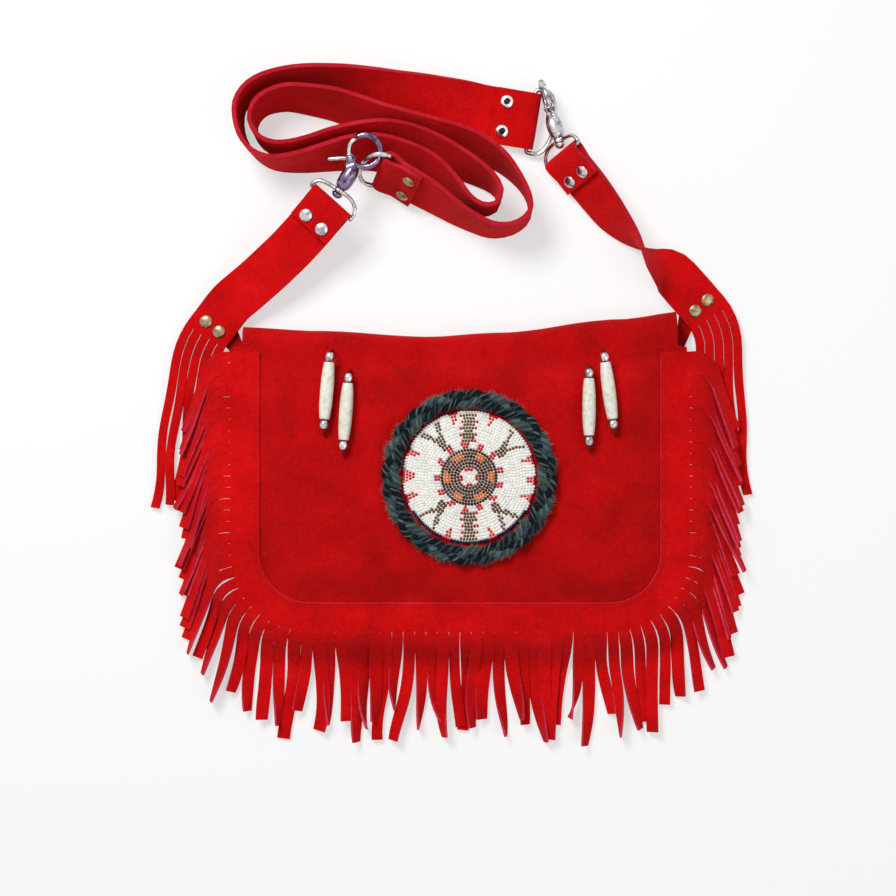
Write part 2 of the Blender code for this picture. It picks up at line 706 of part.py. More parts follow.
def make_tab(name, centres, frames, heading, holes):
    """A tab folded over its loop; its lower end is slit into strips."""
    lie = (TAB_THICK + GAP) / 2
    rows = folded_end(centres, frames, LOOP_WIRE, TAB_THICK, TAB_TAIL, 1.0)
    rows += plain_rows(
        centres, frames, FOLD_RISE + FOLD_CLEAR, math.inf, lambda gone: eased_past(TAB_TAIL, gone), -lie
    )
    bm = bmesh.new()
    spots = ribbon_surface(bm, rows, TAB_WIDTH)
    tab_end(bm, spots, rows, heading, TAB_THICK / 2 + GAP)
    obj = add_piece(name, mesh_of(name, bm), "red_suede", 50)
    thicken(obj, TAB_THICK)
    triangulate(obj)
    for hole in holes:
        cut(obj, hole)


# Rivets

def rivet_mesh(name, grip):
    """A domed cap, a post through the layers and a flat cap behind; the top layer's face is at Z 0."""
    r, h, post = RIVET_RADIUS, RIVET_HEIGHT, POST_RADIUS
    profile = [
        (0.0, GAP + h), (r * 0.6, GAP + h * 0.85), (r, GAP + h * 0.3), (r, GAP),
        (post, GAP), (post, -grip - GAP), (r * 0.85, -grip - GAP), (r * 0.7, -grip - GAP - h * 0.4),
        (0.0, -grip - GAP - h * 0.4),
    ]
    return turned_mesh(name, profile, 9)


def hole_cutter(name, matrix, reach):
    return add_helper(name, cylinder_mesh(name, POST_RADIUS + HOLE_CLEARANCE, reach, matrix))


def rivet_places(centres, frames, distance, spread, face, lift):
    """Two places side by side across a ribbon, at a distance along it, on the face given."""
    centre, ahead, across, normal = frame_at(centres, frames, distance)
    return [
        aim(centre + across * spread * side / 2 + normal * face * lift, normal * face, ahead)
        for side in (-1, 1)
    ]


def add_rivets(name, places, grip, slot):
    mesh = rivet_mesh(name, grip)
    for number, matrix in enumerate(places, 1):
        obj = add_piece(f"{name}_{number}", mesh, slot, 40)
        obj.matrix_world = matrix


# Fringe on the flap

def fringe_outline():
    """Points along the slit line with their outward normals, from the top left round to the top right."""
    half = FLAP_HALF_WIDTH + FRINGE_OVERHANG
    low = FLAP_BOTTOM - FRINGE_OVERHANG
    radius = FLAP_CORNER + FRINGE_OVERHANG
    side = FRINGE_TOP - (low + radius)
    arc = radius * math.pi / 2
    floor = 2 * (half - radius)
    total = 2 * side + 2 * arc + floor

    def at(s):
        if s < side:
            return Vector((-half, FRINGE_TOP - s)), Vector((-1.0, 0.0)), 1.0
        s -= side
        if s < arc:
            angle = math.pi + s / radius
            normal = Vector((math.cos(angle), math.sin(angle)))
            return Vector((-half + radius, low + radius)) + normal * radius, normal, 1.0 - s / arc
        s -= arc
        if s < floor:
            return Vector((-half + radius + s, low)), Vector((0.0, -1.0)), 0.0
        s -= floor
        if s < arc:
            angle = math.pi * 1.5 + s / radius
            normal = Vector((math.cos(angle), math.sin(angle)))
            return Vector((half - radius, low + radius)) + normal * radius, normal, s / arc
        s -= arc
        return Vector((half, low + radius + s)), Vector((1.0, 0.0)), 1.0

    return total, at


def strip_rows(root, normal, sideness, number, width, height):
    """Rows of one strip: it leaves along the normal, turns on its edge and hangs down."""
    sign = -1.0 if normal.x < 0 else 1.0
    splay = math.radians(SIDE_SPLAY) * sideness
    end_angle = -math.pi / 2 + sign * splay
    start_angle = math.atan2(normal.y, normal.x)
    if start_angle > 0:
        start_angle -= 2 * math.pi if sign < 0 else 0.0
    tangent_angle = start_angle + math.pi / 2
    length = STRIP_LENGTH + STRIP_SPREAD * math.sin(number * 2.4) * (1.0 - 0.4 * sideness)
    reach = math.hypot(width, FRINGE_THICK)
    lean = math.atan2(FRINGE_THICK, width)
    over_tab = 1.0 if (sideness == 1.0 and root.y > OVER_TAB_Y) else 0.0
    floor = GAP + over_tab * (TAB_THICK + SUEDE + GAP * 2)
    spot = root.copy()
    rows = []
    for i in range(1, STRIP_STEPS + 1):
        s0, s1 = length * (i - 1) / STRIP_STEPS, length * i / STRIP_STEPS
        middle = (s0 + s1) / 2
        turned = min(middle / TURN_LENGTH, 1.0)
        angle = start_angle + (end_angle - start_angle) * turned * turned * (3 - 2 * turned)
        spot = spot + Vector((math.cos(angle), math.sin(angle))) * (s1 - s0)
        turned = min(s1 / TURN_LENGTH, 1.0)
        angle = start_angle + (end_angle - start_angle) * turned * turned * (3 - 2 * turned)
        room = STRIP_PITCH * abs(math.sin(angle - tangent_angle)) - STRIP_SLIT
        roll = 0.0
        if room < width:
            roll = lean + math.acos(min(room / reach, 1.0))
        heading = Vector((math.cos(angle), math.sin(angle), 0.0))
        left = Vector((-heading.y, heading.x, 0.0))
        across = left * math.cos(roll) - Vector((0, 0, sign * math.sin(roll)))
        rest = (width * math.sin(roll) + FRINGE_THICK * math.cos(roll)) / 2 + floor
        fall = min(s1 / DROP_LENGTH, 1.0)
        fall = fall * fall * (3 - 2 * fall)
        rows.append((Vector((spot.x, spot.y, height + (rest - height) * fall)), across))
    return rows


def make_fringe():
    total, at = fringe_outline()
    count = round(total / STRIP_PITCH)
    pitch = total / count
    width = pitch - STRIP_SLIT
    height = FLAP_TOP + GAP + FRINGE_THICK / 2
    lift = facet_height(FRINGE_BAND, CROWN + FLAP_LIFT) + BAND_ROOM
    bm = bmesh.new()

    def band_pair(s):
        place, normal, _ = at(s)
        inner = place - normal * (FRINGE_BAND + FRINGE_OVERHANG)
        return bm.verts.new((place.x + BAG_CENTRE_X, place.y, height)), bm.verts.new(
            (inner.x + BAG_CENTRE_X, inner.y, height + lift)
        )

    last = None
    for k in range(count):
        one = band_pair(k * pitch + STRIP_SLIT / 2)
        two = band_pair((k + 1) * pitch - STRIP_SLIT / 2)
        if last:
            bm.faces.new((last[0], one[0], one[1], last[1]))
        bm.faces.new((one[0], two[0], two[1], one[1]))
        last = two
        root, normal, sideness = at((k + 0.5) * pitch)
        root = root + Vector((BAG_CENTRE_X, 0.0))
        ends = (one[0], two[0])
        for centre, across in strip_rows(root, normal, sideness, k, width, height):
            fresh = (bm.verts.new(centre - across * width / 2), bm.verts.new(centre + across * width / 2))
            bm.faces.new((ends[0], fresh[0], fresh[1], ends[1]))
            ends = fresh
    obj = add_piece("fringe", mesh_of("fringe", bm), "red_suede", 40)
    thicken(obj, FRINGE_THICK)


# Gusset

def make_gusset():
    """One strip round the sides and the bottom, standing between the back and the front."""
    middle = SUEDE + GAP + GUSSET_WIDTH / 2
    half = BODY_HALF_WIDTH - GUSSET_INSET - SUEDE / 2
    low = BODY_BOTTOM + GUSSET_INSET + SUEDE / 2
    radius = BODY_CORNER - GUSSET_INSET
    left, right = BAG_CENTRE_X - half, BAG_CENTRE_X + half
    spots = [(left, HINGE_Y - GUSSET_END), (left, low + radius + 0.03)]
    for corner_x, start in ((left + radius, 1.0), (right - radius, 1.5)):
        for i in range(7):
            angle = math.pi * (start + 0.5 * i / 6)
            spots.append((corner_x + radius * math.cos(angle), low + radius + radius * math.sin(angle)))
        if start == 1.0:
            spots.append((BAG_CENTRE_X, low))
    spots += [(right, low + radius + 0.03), (right, HINGE_Y - GUSSET_END)]
    route = smooth_route([(x, y, middle, 90.0) for x, y in spots], GUSSET_STEP)
    centres = [Vector(key[:3]) for key in route]
    frames = frames_along(centres, [key[3] for key in route])
    bm = bmesh.new()
    ribbon_surface(bm, [(c, f[1]) for c, f in zip(centres, frames)], GUSSET_WIDTH)
    obj = add_piece("gusset", mesh_of("gusset", bm), "red_suede", 40)
    thicken(obj, SUEDE)


# Metal fittings

def make_d_ring(name, centre, frame, swing):
    """Straight bar in the strap's fold, two legs and a round bow, swung round the bar."""
    ahead, across, normal = frame
    angle = math.radians(swing)
    out = -ahead * math.cos(angle) + normal * STRAP_FACE * math.sin(angle)
    half = STRAP_WIDTH / 2 + GAP * 2 + RING_WIRE
    spots = [(RING_CORNER - half, 0.0), (0.0, 0.0), (half - RING_CORNER, 0.0), (half, RING_CORNER)]
    for i in range(15):
        turn = math.pi * i / 14
        spots.append((half * math.cos(turn), RING_LEG + RING_DEPTH * math.sin(turn)))
    spots.append((-half, RING_CORNER))
    points = [centre + across * u + out * v for u, v in spots]
    obj = add_piece(name, tube_mesh(name, points, RING_WIRE, closed=True), "steel", 50)
    move_origin(obj, centre)


def move_origin(obj, point):
    obj.data.transform(Matrix.Translation(-Vector(point)))
    obj.location = point


def hook_matrix(claw, heading, pitch, roll):
    turned, raised = math.radians(heading), math.radians(pitch)
    e1 = Vector((math.cos(raised) * math.cos(turned), math.cos(raised) * math.sin(turned), math.sin(raised)))
    left = Vector((-math.sin(turned), math.cos(turned), 0.0))
    up = e1.cross(left)
    angle = math.radians(roll)
    e2 = left * math.cos(angle) + up * math.sin(angle)
    e3 = e1.cross(e2)
    return Matrix.Translation(Vector(claw)) @ Matrix((e1, e2, e3)).transposed().to_4x4()


def on_claw(angle, radius=CLAW_RADIUS):
    turned = math.radians(angle)
    return Vector((radius * math.cos(turned), radius * math.sin(turned), 0.0))


def slab_mesh(name, points, thick):
    """A flat outline in the claw's plane, given its thickness."""
    bm = bmesh.new()
    face = bm.faces.new([bm.verts.new((p.x, p.y, -thick / 2)) for p in points])
    grown = bmesh.ops.extrude_face_region(bm, geom=[face])
    for spot in grown["geom"]:
        if isinstance(spot, bmesh.types.BMVert):
            spot.co.z += thick
    bmesh.ops.recalc_face_normals(bm, faces=bm.faces)
    return mesh_of(name, bm)


def ring_sector(name, centre, inner, outer, start, end, thick):
    points = []
    for radius, angles in ((inner, range(9)), (outer, range(8, -1, -1))):
        for i in angles:
            turned = math.radians(start + (end - start) * i / 8)
            points.append(centre + Vector((radius * math.cos(turned), radius * math.sin(turned), 0.0)))
    return add_helper(name, slab_mesh(name, points, thick))


def box_mesh(name, low, high):
    bm = bmesh.new()
    size = Vector(high) - Vector(low)
    place = Matrix.Translation((Vector(high) + Vector(low)) / 2) @ Matrix.Diagonal((*size, 1.0))
    bmesh.ops.create_cube(bm, size=1.0, matrix=place)
    return mesh_of(name, bm)


PIVOT = on_claw(PIVOT_ANGLE)
TIP_REACH = (on_claw(NOSE_ANGLE) - PIVOT).length


def make_hook_body_mesh():
    """Swivel head, shank, barrel, neck, claw and the fork that carries the gate."""
    eye = HOOK_LENGTH - EYE_SETBACK
    body_end = -eye + EYE_LENGTH / 2 + GAP
    head = -eye - EYE_LENGTH / 2 - GAP
    r = BODY_RADIUS
    neck = -CLAW_RADIUS + 0.0012
    profile = [
        (0.0, neck), (CLAW_WIRE * 1.1, neck), (CLAW_WIRE * 1.3, neck - 0.0015), (r * 0.82, neck - 0.0046),
        (r, neck - 0.0085), (r * 0.98, neck - 0.0130), (r * 0.84, body_end), (SHANK_RADIUS, body_end),
        (SHANK_RADIUS, head), (HEAD_RADIUS, head), (HEAD_RADIUS * 0.94, head - 0.0014),
        (HEAD_RADIUS * 0.62, head - 0.0028), (0.0, head - 0.0034),
    ]
    obj = add_helper("hook_turned", turned_mesh("hook_turned", profile, 14))
    obj.data.transform(Matrix.Rotation(math.pi / 2, 4, "Y"))
    arc = [on_claw(a) for a in range(-176, 62, 14)] + [on_claw(NOSE_ANGLE - 2.0)]
    claw = add_helper("claw_arc", tube_mesh("claw_arc", arc, CLAW_WIRE))
    cut(claw, ring_sector(
        "nose_cut", PIVOT, TIP_REACH * 0.6, TIP_REACH + SLOT_CLEARANCE, -15.0, 45.0, 0.02
    ))
    claw_piece = add_helper("claw_piece", settled_mesh(claw))
    fork = KNUCKLE_THICK / 2 + SLOT_CLEARANCE + FORK_WALL
    ear = add_helper("fork_ear", cylinder_mesh(
        "fork_ear", KNUCKLE_RADIUS + 0.0005, fork * 2, Matrix.Translation(PIVOT), 16
    ))
    block = add_helper("fork_block", box_mesh(
        "fork_block", (PIVOT.x - 0.0056, 0.0004, -fork + 0.0001), (PIVOT.x + 0.0004, PIVOT.y + 0.0009, fork - 0.0001)
    ))
    for tool in (claw_piece, block, ear):
        cut(obj, tool, "UNION")
    slot = KNUCKLE_RADIUS + SLOT_CLEARANCE
    half = KNUCKLE_THICK / 2 + SLOT_CLEARANCE
    cut(obj, add_helper("fork_slot", box_mesh(
        "fork_slot", (PIVOT.x - slot, PIVOT.y - slot, -half), (PIVOT.x + 0.009, PIVOT.y + 0.009, half)
    )))
    cut(obj, add_helper("pin_hole", cylinder_mesh(
        "pin_hole", PIN_RADIUS + PIN_CLEARANCE, 0.02, Matrix.Translation(PIVOT)
    )))
    return settled_mesh(obj)


def make_gate_mesh():
    """The knuckle, the curved gate that closes the claw and the thumb lever."""
    obj = add_helper("gate_knuckle", cylinder_mesh(
        "gate_knuckle", KNUCKLE_RADIUS, KNUCKLE_THICK, Matrix.Translation(PIVOT), 16
    ))
    arc = [PIVOT.lerp(on_claw(PIVOT_ANGLE - 8), 0.5)]
    arc += [on_claw(a) for a in range(int(PIVOT_ANGLE) - 14, int(NOSE_ANGLE) + 6, -12)]
    arc += [on_claw(NOSE_ANGLE - 8)]
    bow = add_helper("gate_bow", tube_mesh("gate_bow", arc, GATE_WIRE))
    cut(bow, ring_sector("tip_cut", PIVOT, TIP_REACH, TIP_REACH * 1.6, -15.0, 45.0, 0.02))
    bow_piece = add_helper("gate_bow_piece", settled_mesh(bow))
    turned = math.radians(LEVER_ANGLE)
    out = Vector((math.cos(turned), math.sin(turned), 0.0))
    start = PIVOT + out * (KNUCKLE_RADIUS * 0.75)
    lever = [start + out * LEVER_LENGTH * s + on_claw(LEVER_ANGLE + 90, 0.0016) * s * s for s in (0, 0.3, 0.6, 0.8)]
    thumb = add_helper("gate_lever", tube_mesh("gate_lever", lever, GATE_WIRE * 0.85))
    cut(obj, bow_piece, "UNION")
    cut(obj, thumb, "UNION")
    cut(obj, add_helper("knuckle_hole", cylinder_mesh(
        "knuckle_hole", PIN_RADIUS + PIN_CLEARANCE, 0.02, Matrix.Translation(PIVOT)
    )))
    mesh = settled_mesh(obj)
    mesh.transform(Matrix.Translation(-PIVOT))
    return mesh


def make_pin_mesh():
    half = KNUCKLE_THICK / 2 + SLOT_CLEARANCE + FORK_WALL + 0.0002
    head = PIN_RADIUS * 1.7
    return turned_mesh("gate_pin", [
        (0.0, half + 0.0006), (head * 0.7, half + 0.0006), (head, half + 0.0002), (head, half), (PIN_RADIUS, half),
        (PIN_RADIUS, -half), (head, -half), (head, -half - 0.0002), (head * 0.7, -half - 0.0006), (0.0, -half - 0.0006),
    ], 12)


def make_loop(name, bar, frame, matrix):
    """Wire loop through the tab's fold, closed by the eye that the hook swivels in."""
    eye = matrix @ Vector((-(HOOK_LENGTH - EYE_SETBACK), 0.0, 0.0))
    e1 = (matrix.to_3x3() @ Vector((1, 0, 0))).normalized()
    across = frame[1]
    drift = (eye - bar).dot(across)
    out = eye - bar - across * drift
    seat = (across - e1 * across.dot(e1)).normalized()
    half = TAB_WIDTH / 2 + GAP * 2 + LOOP_WIRE
    ends = (EYE_RADIUS + SHANK_RADIUS) / 2
    sides = []
    steps = 8
    for side in (1.0, -1.0):
        row = []
        for i in range(steps + 1):
            turn = math.pi / 2 * i / steps
            share = math.sin(turn)
            u = max(half * math.cos(turn) ** 0.55, ends) * side
            way = across.lerp(seat, share ** 3).normalized()
            row.append(bar + way * u + out * share ** 0.75 + across * drift * share ** 3)
        sides.append(row)
    wire = sides[0][::-1] + sides[1]
    obj = add_helper(name + "_wire", tube_mesh(name + "_wire", wire, LOOP_WIRE))
    collar = turned_mesh(name + "_eye", [
        (EYE_RADIUS, EYE_LENGTH / 2), (EYE_RADIUS, -EYE_LENGTH / 2),
        (SHANK_RADIUS + PIN_CLEARANCE, -EYE_LENGTH / 2), (SHANK_RADIUS + PIN_CLEARANCE, EYE_LENGTH / 2),
    ], 16, closed=True)
    collar.transform(aim(eye, e1))
    cut(obj, add_helper(name + "_collar", collar), "UNION")
    add_piece(name, settled_mesh(obj), "steel", 50)


def add_hook(side, matrix, body, gate, pin):
    hook = add_piece(f"hook_body_{side}", body, "hook_steel", 40)
    hook.matrix_world = matrix
    lever = add_piece(f"gate_{side}", gate, "steel", 40)
    lever.matrix_world = matrix @ Matrix.Translation(PIVOT)
    axle = add_piece(f"gate_pin_{side}", pin, "steel", 40)
    axle.matrix_world = matrix @ Matrix.Translation(PIVOT)


# Trim on the flap

def seat_height(middle, way, reach):
    """Height at which a level rod of the pipe's radius rests on the flap."""
    tops = [flap_top(*(middle + way * reach * (i / 10 - 1.0)).xy) for i in range(21)]
    return max(tops) + PIPE_MIDDLE + GAP * 2


def make_pipe(number, x0, y0, x1, y1):
    """A hair pipe with a bead at each end, and the lace through them that ties them down."""
    start, end = Vector((x0, y0, 0.0)), Vector((x1, y1, 0.0))
    way = (end - start).normalized()
    middle = (start + end) / 2
    middle.z = seat_height(middle, way, PIPE_LENGTH / 2 + BEAD_LENGTH)
    r, e, half = PIPE_MIDDLE, PIPE_END, PIPE_LENGTH / 2
    outer = [
        (e * 0.9, half), (e, half * 0.96), (r * 0.94, half * 0.45), (r * 0.94, -half * 0.45),
        (e, -half * 0.96), (e * 0.9, -half),
    ]
    mesh = turned_mesh("hair_pipe", outer + [(BORE, -half), (BORE, half)], 10, closed=True)
    obj = add_piece(f"hair_pipe_{number}", mesh, "bone", 40)
    obj.matrix_world = aim(middle, way)
    b, h = BEAD_RADIUS, BEAD_LENGTH / 2
    ball = [(b * 0.62, h), (b * 0.98, h * 0.4), (b * 0.98, -h * 0.4), (b * 0.62, -h), (BORE, -h), (BORE, h)]
    for name, side in (("top", -1), ("low", 1)):
        obj = add_piece(f"bead_{name}_{number}", turned_mesh("metal_bead", ball, 9, closed=True), "steel", 50)
        obj.matrix_world = aim(middle + way * side * (half + h + TRIM_GAP), way)
    stop = half + BEAD_LENGTH + LACE_STOP
    route = []
    for side in (-1, 1):
        foot = middle + way * side * stop
        elbow = foot.copy()
        foot.z = flap_top(foot.x, foot.y) + LACE_RADIUS + GAP
        elbow.z -= LACE_RADIUS * 1.5
        leg = [foot, elbow, middle + way * side * (stop - LACE_RADIUS * 1.5)]
        route += leg if side < 0 else leg[::-1]
    add_piece(f"lace_{number}", tube_mesh("lace", route, LACE_RADIUS, sides=1), "lace_leather", 60)


def make_rosette():
    base = FLAP_TOP + CROWN + FLAP_LIFT + GAP
    profile = [(0.0, ROSETTE_HEIGHT)]
    pitch = ROSETTE_RADIUS / RIDGES
    for k in range(RIDGES):
        profile.append((pitch * (k + 0.5), ROSETTE_HEIGHT))
        profile.append((pitch * (k + 1), ROSETTE_HEIGHT - RIDGE_DEPTH))
    profile += [(ROSETTE_RADIUS, 0.0), (0.0, 0.0)]
    mesh = turned_mesh("rosette", profile, 24)
    obj = add_piece("rosette", mesh, "seed_beads", 30)
    obj.location = (ROSETTE_X, ROSETTE_Y, base)


def make_braid():
    """The braided ring: its section swells where the strands cross."""
    base = FLAP_TOP + CROWN + FLAP_LIFT + GAP
    bm = bmesh.new()
    rings = []
    steps = BRAID_LOBES * 2
    for i in range(steps):
        turn = 2 * math.pi * i / steps
        swell = 1.0 if i % 2 else 0.88
        section = []
        for k in range(6):
            around = math.pi * k / 5
            radius = BRAID_RADIUS + BRAID_HALF * swell * math.cos(around)
            section.append(bm.verts.new((
                radius * math.cos(turn), radius * math.sin(turn), BRAID_HEIGHT * swell * math.sin(around) ** 0.8
            )))
        rings.append(section)
    for one, two in zip(rings, rings[1:] + rings[:1]):
        for k in range(5):
            bm.faces.new((one[k], two[k], two[k + 1], one[k + 1]))
        bm.faces.new((one[5], two[5], two[0], one[0]))
    bmesh.ops.recalc_face_normals(bm, faces=bm.faces)
    obj = add_piece("braid_ring", mesh_of("braid_ring", bm), "braid_yarn", 60)
    obj.location = (ROSETTE_X, ROSETTE_Y, base)


def make_strap_and_rings():
    centres, frames = strap_layout()
    back_centres = centres[::-1]
    back_frames = [(-ahead, across, normal) for ahead, across, normal in frames][::-1]
    lift = STRAP_THICK + GAP / 2
    grip = STRAP_THICK * 2 + GAP
    right = rivet_places(centres, frames, STRAP_RIVET_AT, STRAP_RIVET_SPREAD, STRAP_FACE, lift)
    left = rivet_places(back_centres, back_frames, STRAP_RIVET_AT, STRAP_RIVET_SPREAD, STRAP_FACE, lift)
    holes = [hole_cutter(f"strap_hole_{n}", place, HOLE_REACH) for n, place in enumerate(right + left)]
    make_long_strap(centres, frames, holes)
    add_rivets("strap_rivet_right", right, grip, "old_brass")
    add_rivets("strap_rivet_left", left, grip, "old_brass")
    make_d_ring("d_ring_right", centres[0], frames[0], RIGHT_RING_SWING)
    make_d_ring("d_ring_left", back_centres[0], back_frames[0], LEFT_RING_SWING)


def lug_frame(centres, frames, spot):
    """Place, heading, width direction and upper side of a tab where it crosses its lug."""
    i = min(range(len(centres)), key=lambda k: math.dist(centres[k][:2], spot))
    ahead, across, normal = frames[i]
    place = centres[i].lerp(centres[i + 1], LUG_SHIFT)
    return place, ahead, across, normal if normal.z > 0 else -normal


def make_tabs_and_hooks():
    body, gate, pin = make_hook_body_mesh(), make_gate_mesh(), make_pin_mesh()
    lugs, lug_holes = [], []
    for side, upper, lower, heading, lug, inward, place in (
        ("left", TAB_LEFT_TOP, TAB_LEFT_LOW, LEFT_FRINGE_HEADING, LEFT_LUG, Vector((1, 0, 0)), LEFT_HOOK),
        ("right", TAB_RIGHT_TOP, TAB_RIGHT_LOW, RIGHT_FRINGE_HEADING, RIGHT_LUG, Vector((-1, 0, 0)), RIGHT_HOOK),
    ):
        centres, frames = tab_layout(upper, lower, lug)
        top = rivet_places(centres, frames, TAB_RIVET_AT, TAB_RIVET_SPREAD, 1.0, TAB_THICK + GAP / 2)
        middle, ahead, across, up = lug_frame(centres, frames, lug)
        lugs.append(lug_corners(middle, ahead, across, up, inward))
        low = [
            aim(middle + across * LUG_RIVET_SPREAD * s / 2 + up * TAB_THICK / 2, up, ahead) for s in (-1, 1)
        ]
        holes = [hole_cutter(f"tab_hole_{side}_{n}", spot, HOLE_REACH) for n, spot in enumerate(top + low)]
        lug_holes += holes[2:]
        make_tab(f"tab_{side}", centres, frames, heading, holes)
        add_rivets(f"tab_rivet_{side}", top, TAB_THICK * 2 + GAP, "steel")
        add_rivets(f"lug_rivet_{side}", low, TAB_THICK + GAP + SUEDE, "old_brass")
        matrix = hook_matrix(*place)
        add_hook(side, matrix, body, gate, pin)
        make_loop(f"swivel_loop_{side}", centres[0], frames[0], matrix)
    make_back_panel(lugs[0], lugs[1], lug_holes)


def main():
    global bag, helpers
    clear_scene()
    bag = new_collection("fringed_suede_bag")
    helpers = new_collection("cutters")
    add_finishes()
    make_front_panel()
    make_flap()
    make_fringe()
    make_gusset()
    make_tabs_and_hooks()
    make_strap_and_rings()
    for number, ends in enumerate(PIPES, 1):
        make_pipe(number, *ends)
    make_rosette()
    make_braid()


main()
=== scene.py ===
# %% [markdown]
# This lesson dresses a red suede bag that lies on its back, its long strap coiled above it. The
# imported solids give every place and size. Suede, beads, yarn and metal are modelled around them,
# so nothing has to be fitted by eye. First the frame is loaded.

# %% Load the frame
import json
import math
import random

import bmesh
import bpy
import numpy as np
from mathutils import Matrix, Vector, noise

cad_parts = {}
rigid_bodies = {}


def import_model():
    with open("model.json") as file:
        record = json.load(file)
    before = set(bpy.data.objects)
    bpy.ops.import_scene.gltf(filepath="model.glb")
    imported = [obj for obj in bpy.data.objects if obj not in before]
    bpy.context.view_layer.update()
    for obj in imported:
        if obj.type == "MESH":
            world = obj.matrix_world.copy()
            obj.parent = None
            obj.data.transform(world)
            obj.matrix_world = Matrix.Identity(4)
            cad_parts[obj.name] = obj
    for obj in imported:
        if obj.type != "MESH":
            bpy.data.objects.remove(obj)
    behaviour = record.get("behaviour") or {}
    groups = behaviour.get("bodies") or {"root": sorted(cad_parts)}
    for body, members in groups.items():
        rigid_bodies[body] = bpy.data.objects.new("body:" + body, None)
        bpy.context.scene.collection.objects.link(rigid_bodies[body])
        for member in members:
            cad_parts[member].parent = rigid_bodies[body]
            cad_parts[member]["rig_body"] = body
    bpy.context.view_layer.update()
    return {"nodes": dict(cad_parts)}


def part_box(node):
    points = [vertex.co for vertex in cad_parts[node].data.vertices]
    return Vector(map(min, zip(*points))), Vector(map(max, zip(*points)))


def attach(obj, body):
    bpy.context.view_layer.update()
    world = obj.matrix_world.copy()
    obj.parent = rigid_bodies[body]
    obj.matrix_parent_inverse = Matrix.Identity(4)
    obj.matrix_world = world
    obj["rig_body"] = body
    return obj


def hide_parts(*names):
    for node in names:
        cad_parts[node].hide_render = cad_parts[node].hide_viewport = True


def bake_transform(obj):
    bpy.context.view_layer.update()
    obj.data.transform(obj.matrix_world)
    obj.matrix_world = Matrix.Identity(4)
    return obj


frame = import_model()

bpy.ops.object.select_all(action="DESELECT")
SEED = 7
dice = random.Random(SEED)
noise.seed_set(SEED)

# %% [markdown]
# The bag is seen from straight above. A wide lens would show its sides and lean the strap
# outwards, so a long lens looks from further away. It is aimed at the middle of the picture, a
# little below the bag's own middle.

# %% Camera
VIEW_CENTRE = (-0.0012, -0.0276)
CAMERA_HEIGHT = 1.29
LENS = 85.0

bpy.ops.object.camera_add(location=(*VIEW_CENTRE, CAMERA_HEIGHT), rotation=(0.0, 0.0, 0.0))
camera = bpy.context.object
camera.name = "camera_above"
camera.data.lens = LENS
camera.data.sensor_width = 36.0
bpy.context.scene.camera = camera
print("camera height", CAMERA_HEIGHT)

# %% [markdown]
# Every material here is built from the same few steps: a noise read in the piece's own metres, a
# ramp that turns it into shades, and a bump. Each could be wired by hand in the shader editor.
# Small helpers keep a finish short to write, and keep all of them at the scale of the real grain.

# %% Material helpers


def new_finish(name, roughness, metallic=0.0, specular=0.5):
    """A new material, with its node tree and its shader."""
    finish = bpy.data.materials.new(name)
    finish.use_nodes = True
    shader = finish.node_tree.nodes["Principled BSDF"]
    shader.inputs["Roughness"].default_value = roughness
    shader.inputs["Metallic"].default_value = metallic
    shader.inputs["Specular IOR Level"].default_value = specular
    return finish, finish.node_tree, shader


def speckle(tree, scale, detail=4.0, rough=0.6):
    """Noise read in the piece's own metres."""
    place = tree.nodes.new("ShaderNodeTexCoord")
    grain = tree.nodes.new("ShaderNodeTexNoise")
    grain.inputs["Scale"].default_value = scale
    grain.inputs["Detail"].default_value = detail
    grain.inputs["Roughness"].default_value = rough
    tree.links.new(place.outputs["Object"], grain.inputs["Vector"])
    return grain.outputs["Fac"]


def shades(tree, value, stops):
    """Colours along a ramp, read by a value."""
    ramp = tree.nodes.new("ShaderNodeValToRGB")
    while len(ramp.color_ramp.elements) < len(stops):
        ramp.color_ramp.elements.new(0.5)
    for element, (spot, colour) in zip(ramp.color_ramp.elements, stops):
        element.position = spot
        element.color = (*colour, 1.0)
    tree.links.new(value, ramp.inputs["Fac"])
    return ramp.outputs["Color"]


def mixed(tree, one, two, share):
    """Two values mixed by a fixed share."""
    blend = tree.nodes.new("ShaderNodeMix")
    blend.data_type = "FLOAT"
    blend.inputs[0].default_value = share
    tree.links.new(one, blend.inputs[2])
    tree.links.new(two, blend.inputs[3])
    return blend.outputs[0]


def tinted(tree, colour, tint, share):
    """A colour multiplied by a tint, by a fixed share."""
    blend = tree.nodes.new("ShaderNodeMix")
    blend.data_type = "RGBA"
    blend.blend_type = "MULTIPLY"
    blend.inputs[0].default_value = share
    tree.links.new(colour, blend.inputs[6])
    tree.links.new(tint, blend.inputs[7])
    return blend.outputs[2]


def raised(tree, shader, layers):
    """Bumps, each given as height, strength and distance, laid over each other."""
    below = None
    for height, strength, distance in layers:
        bump = tree.nodes.new("ShaderNodeBump")
        bump.inputs["Strength"].default_value = strength
        bump.inputs["Distance"].default_value = distance
        tree.links.new(height, bump.inputs["Height"])
        if below:
            tree.links.new(below, bump.inputs["Normal"])
        below = bump.outputs["Normal"]
    tree.links.new(below, shader.inputs["Normal"])

# %% [markdown]
# Suede is the rough side of a hide, and its nap lies in patches that catch the light differently.
# A picture of suede could be wrapped on, but it would stretch at the folds. So two sizes of noise
# mix into the colour, a fine one raises fibres, and a little sheen lights the nap at grazing
# angles. A cut edge shows the paler middle of the hide.

# %% Suede finishes
PATCH_SCALE, NAP_SCALE = 34.0, 430.0
DENT_SCALE, FIBRE_SCALE = 60.0, 2400.0
NAP_SHARE = 0.42
NAP_SHEEN = 0.22


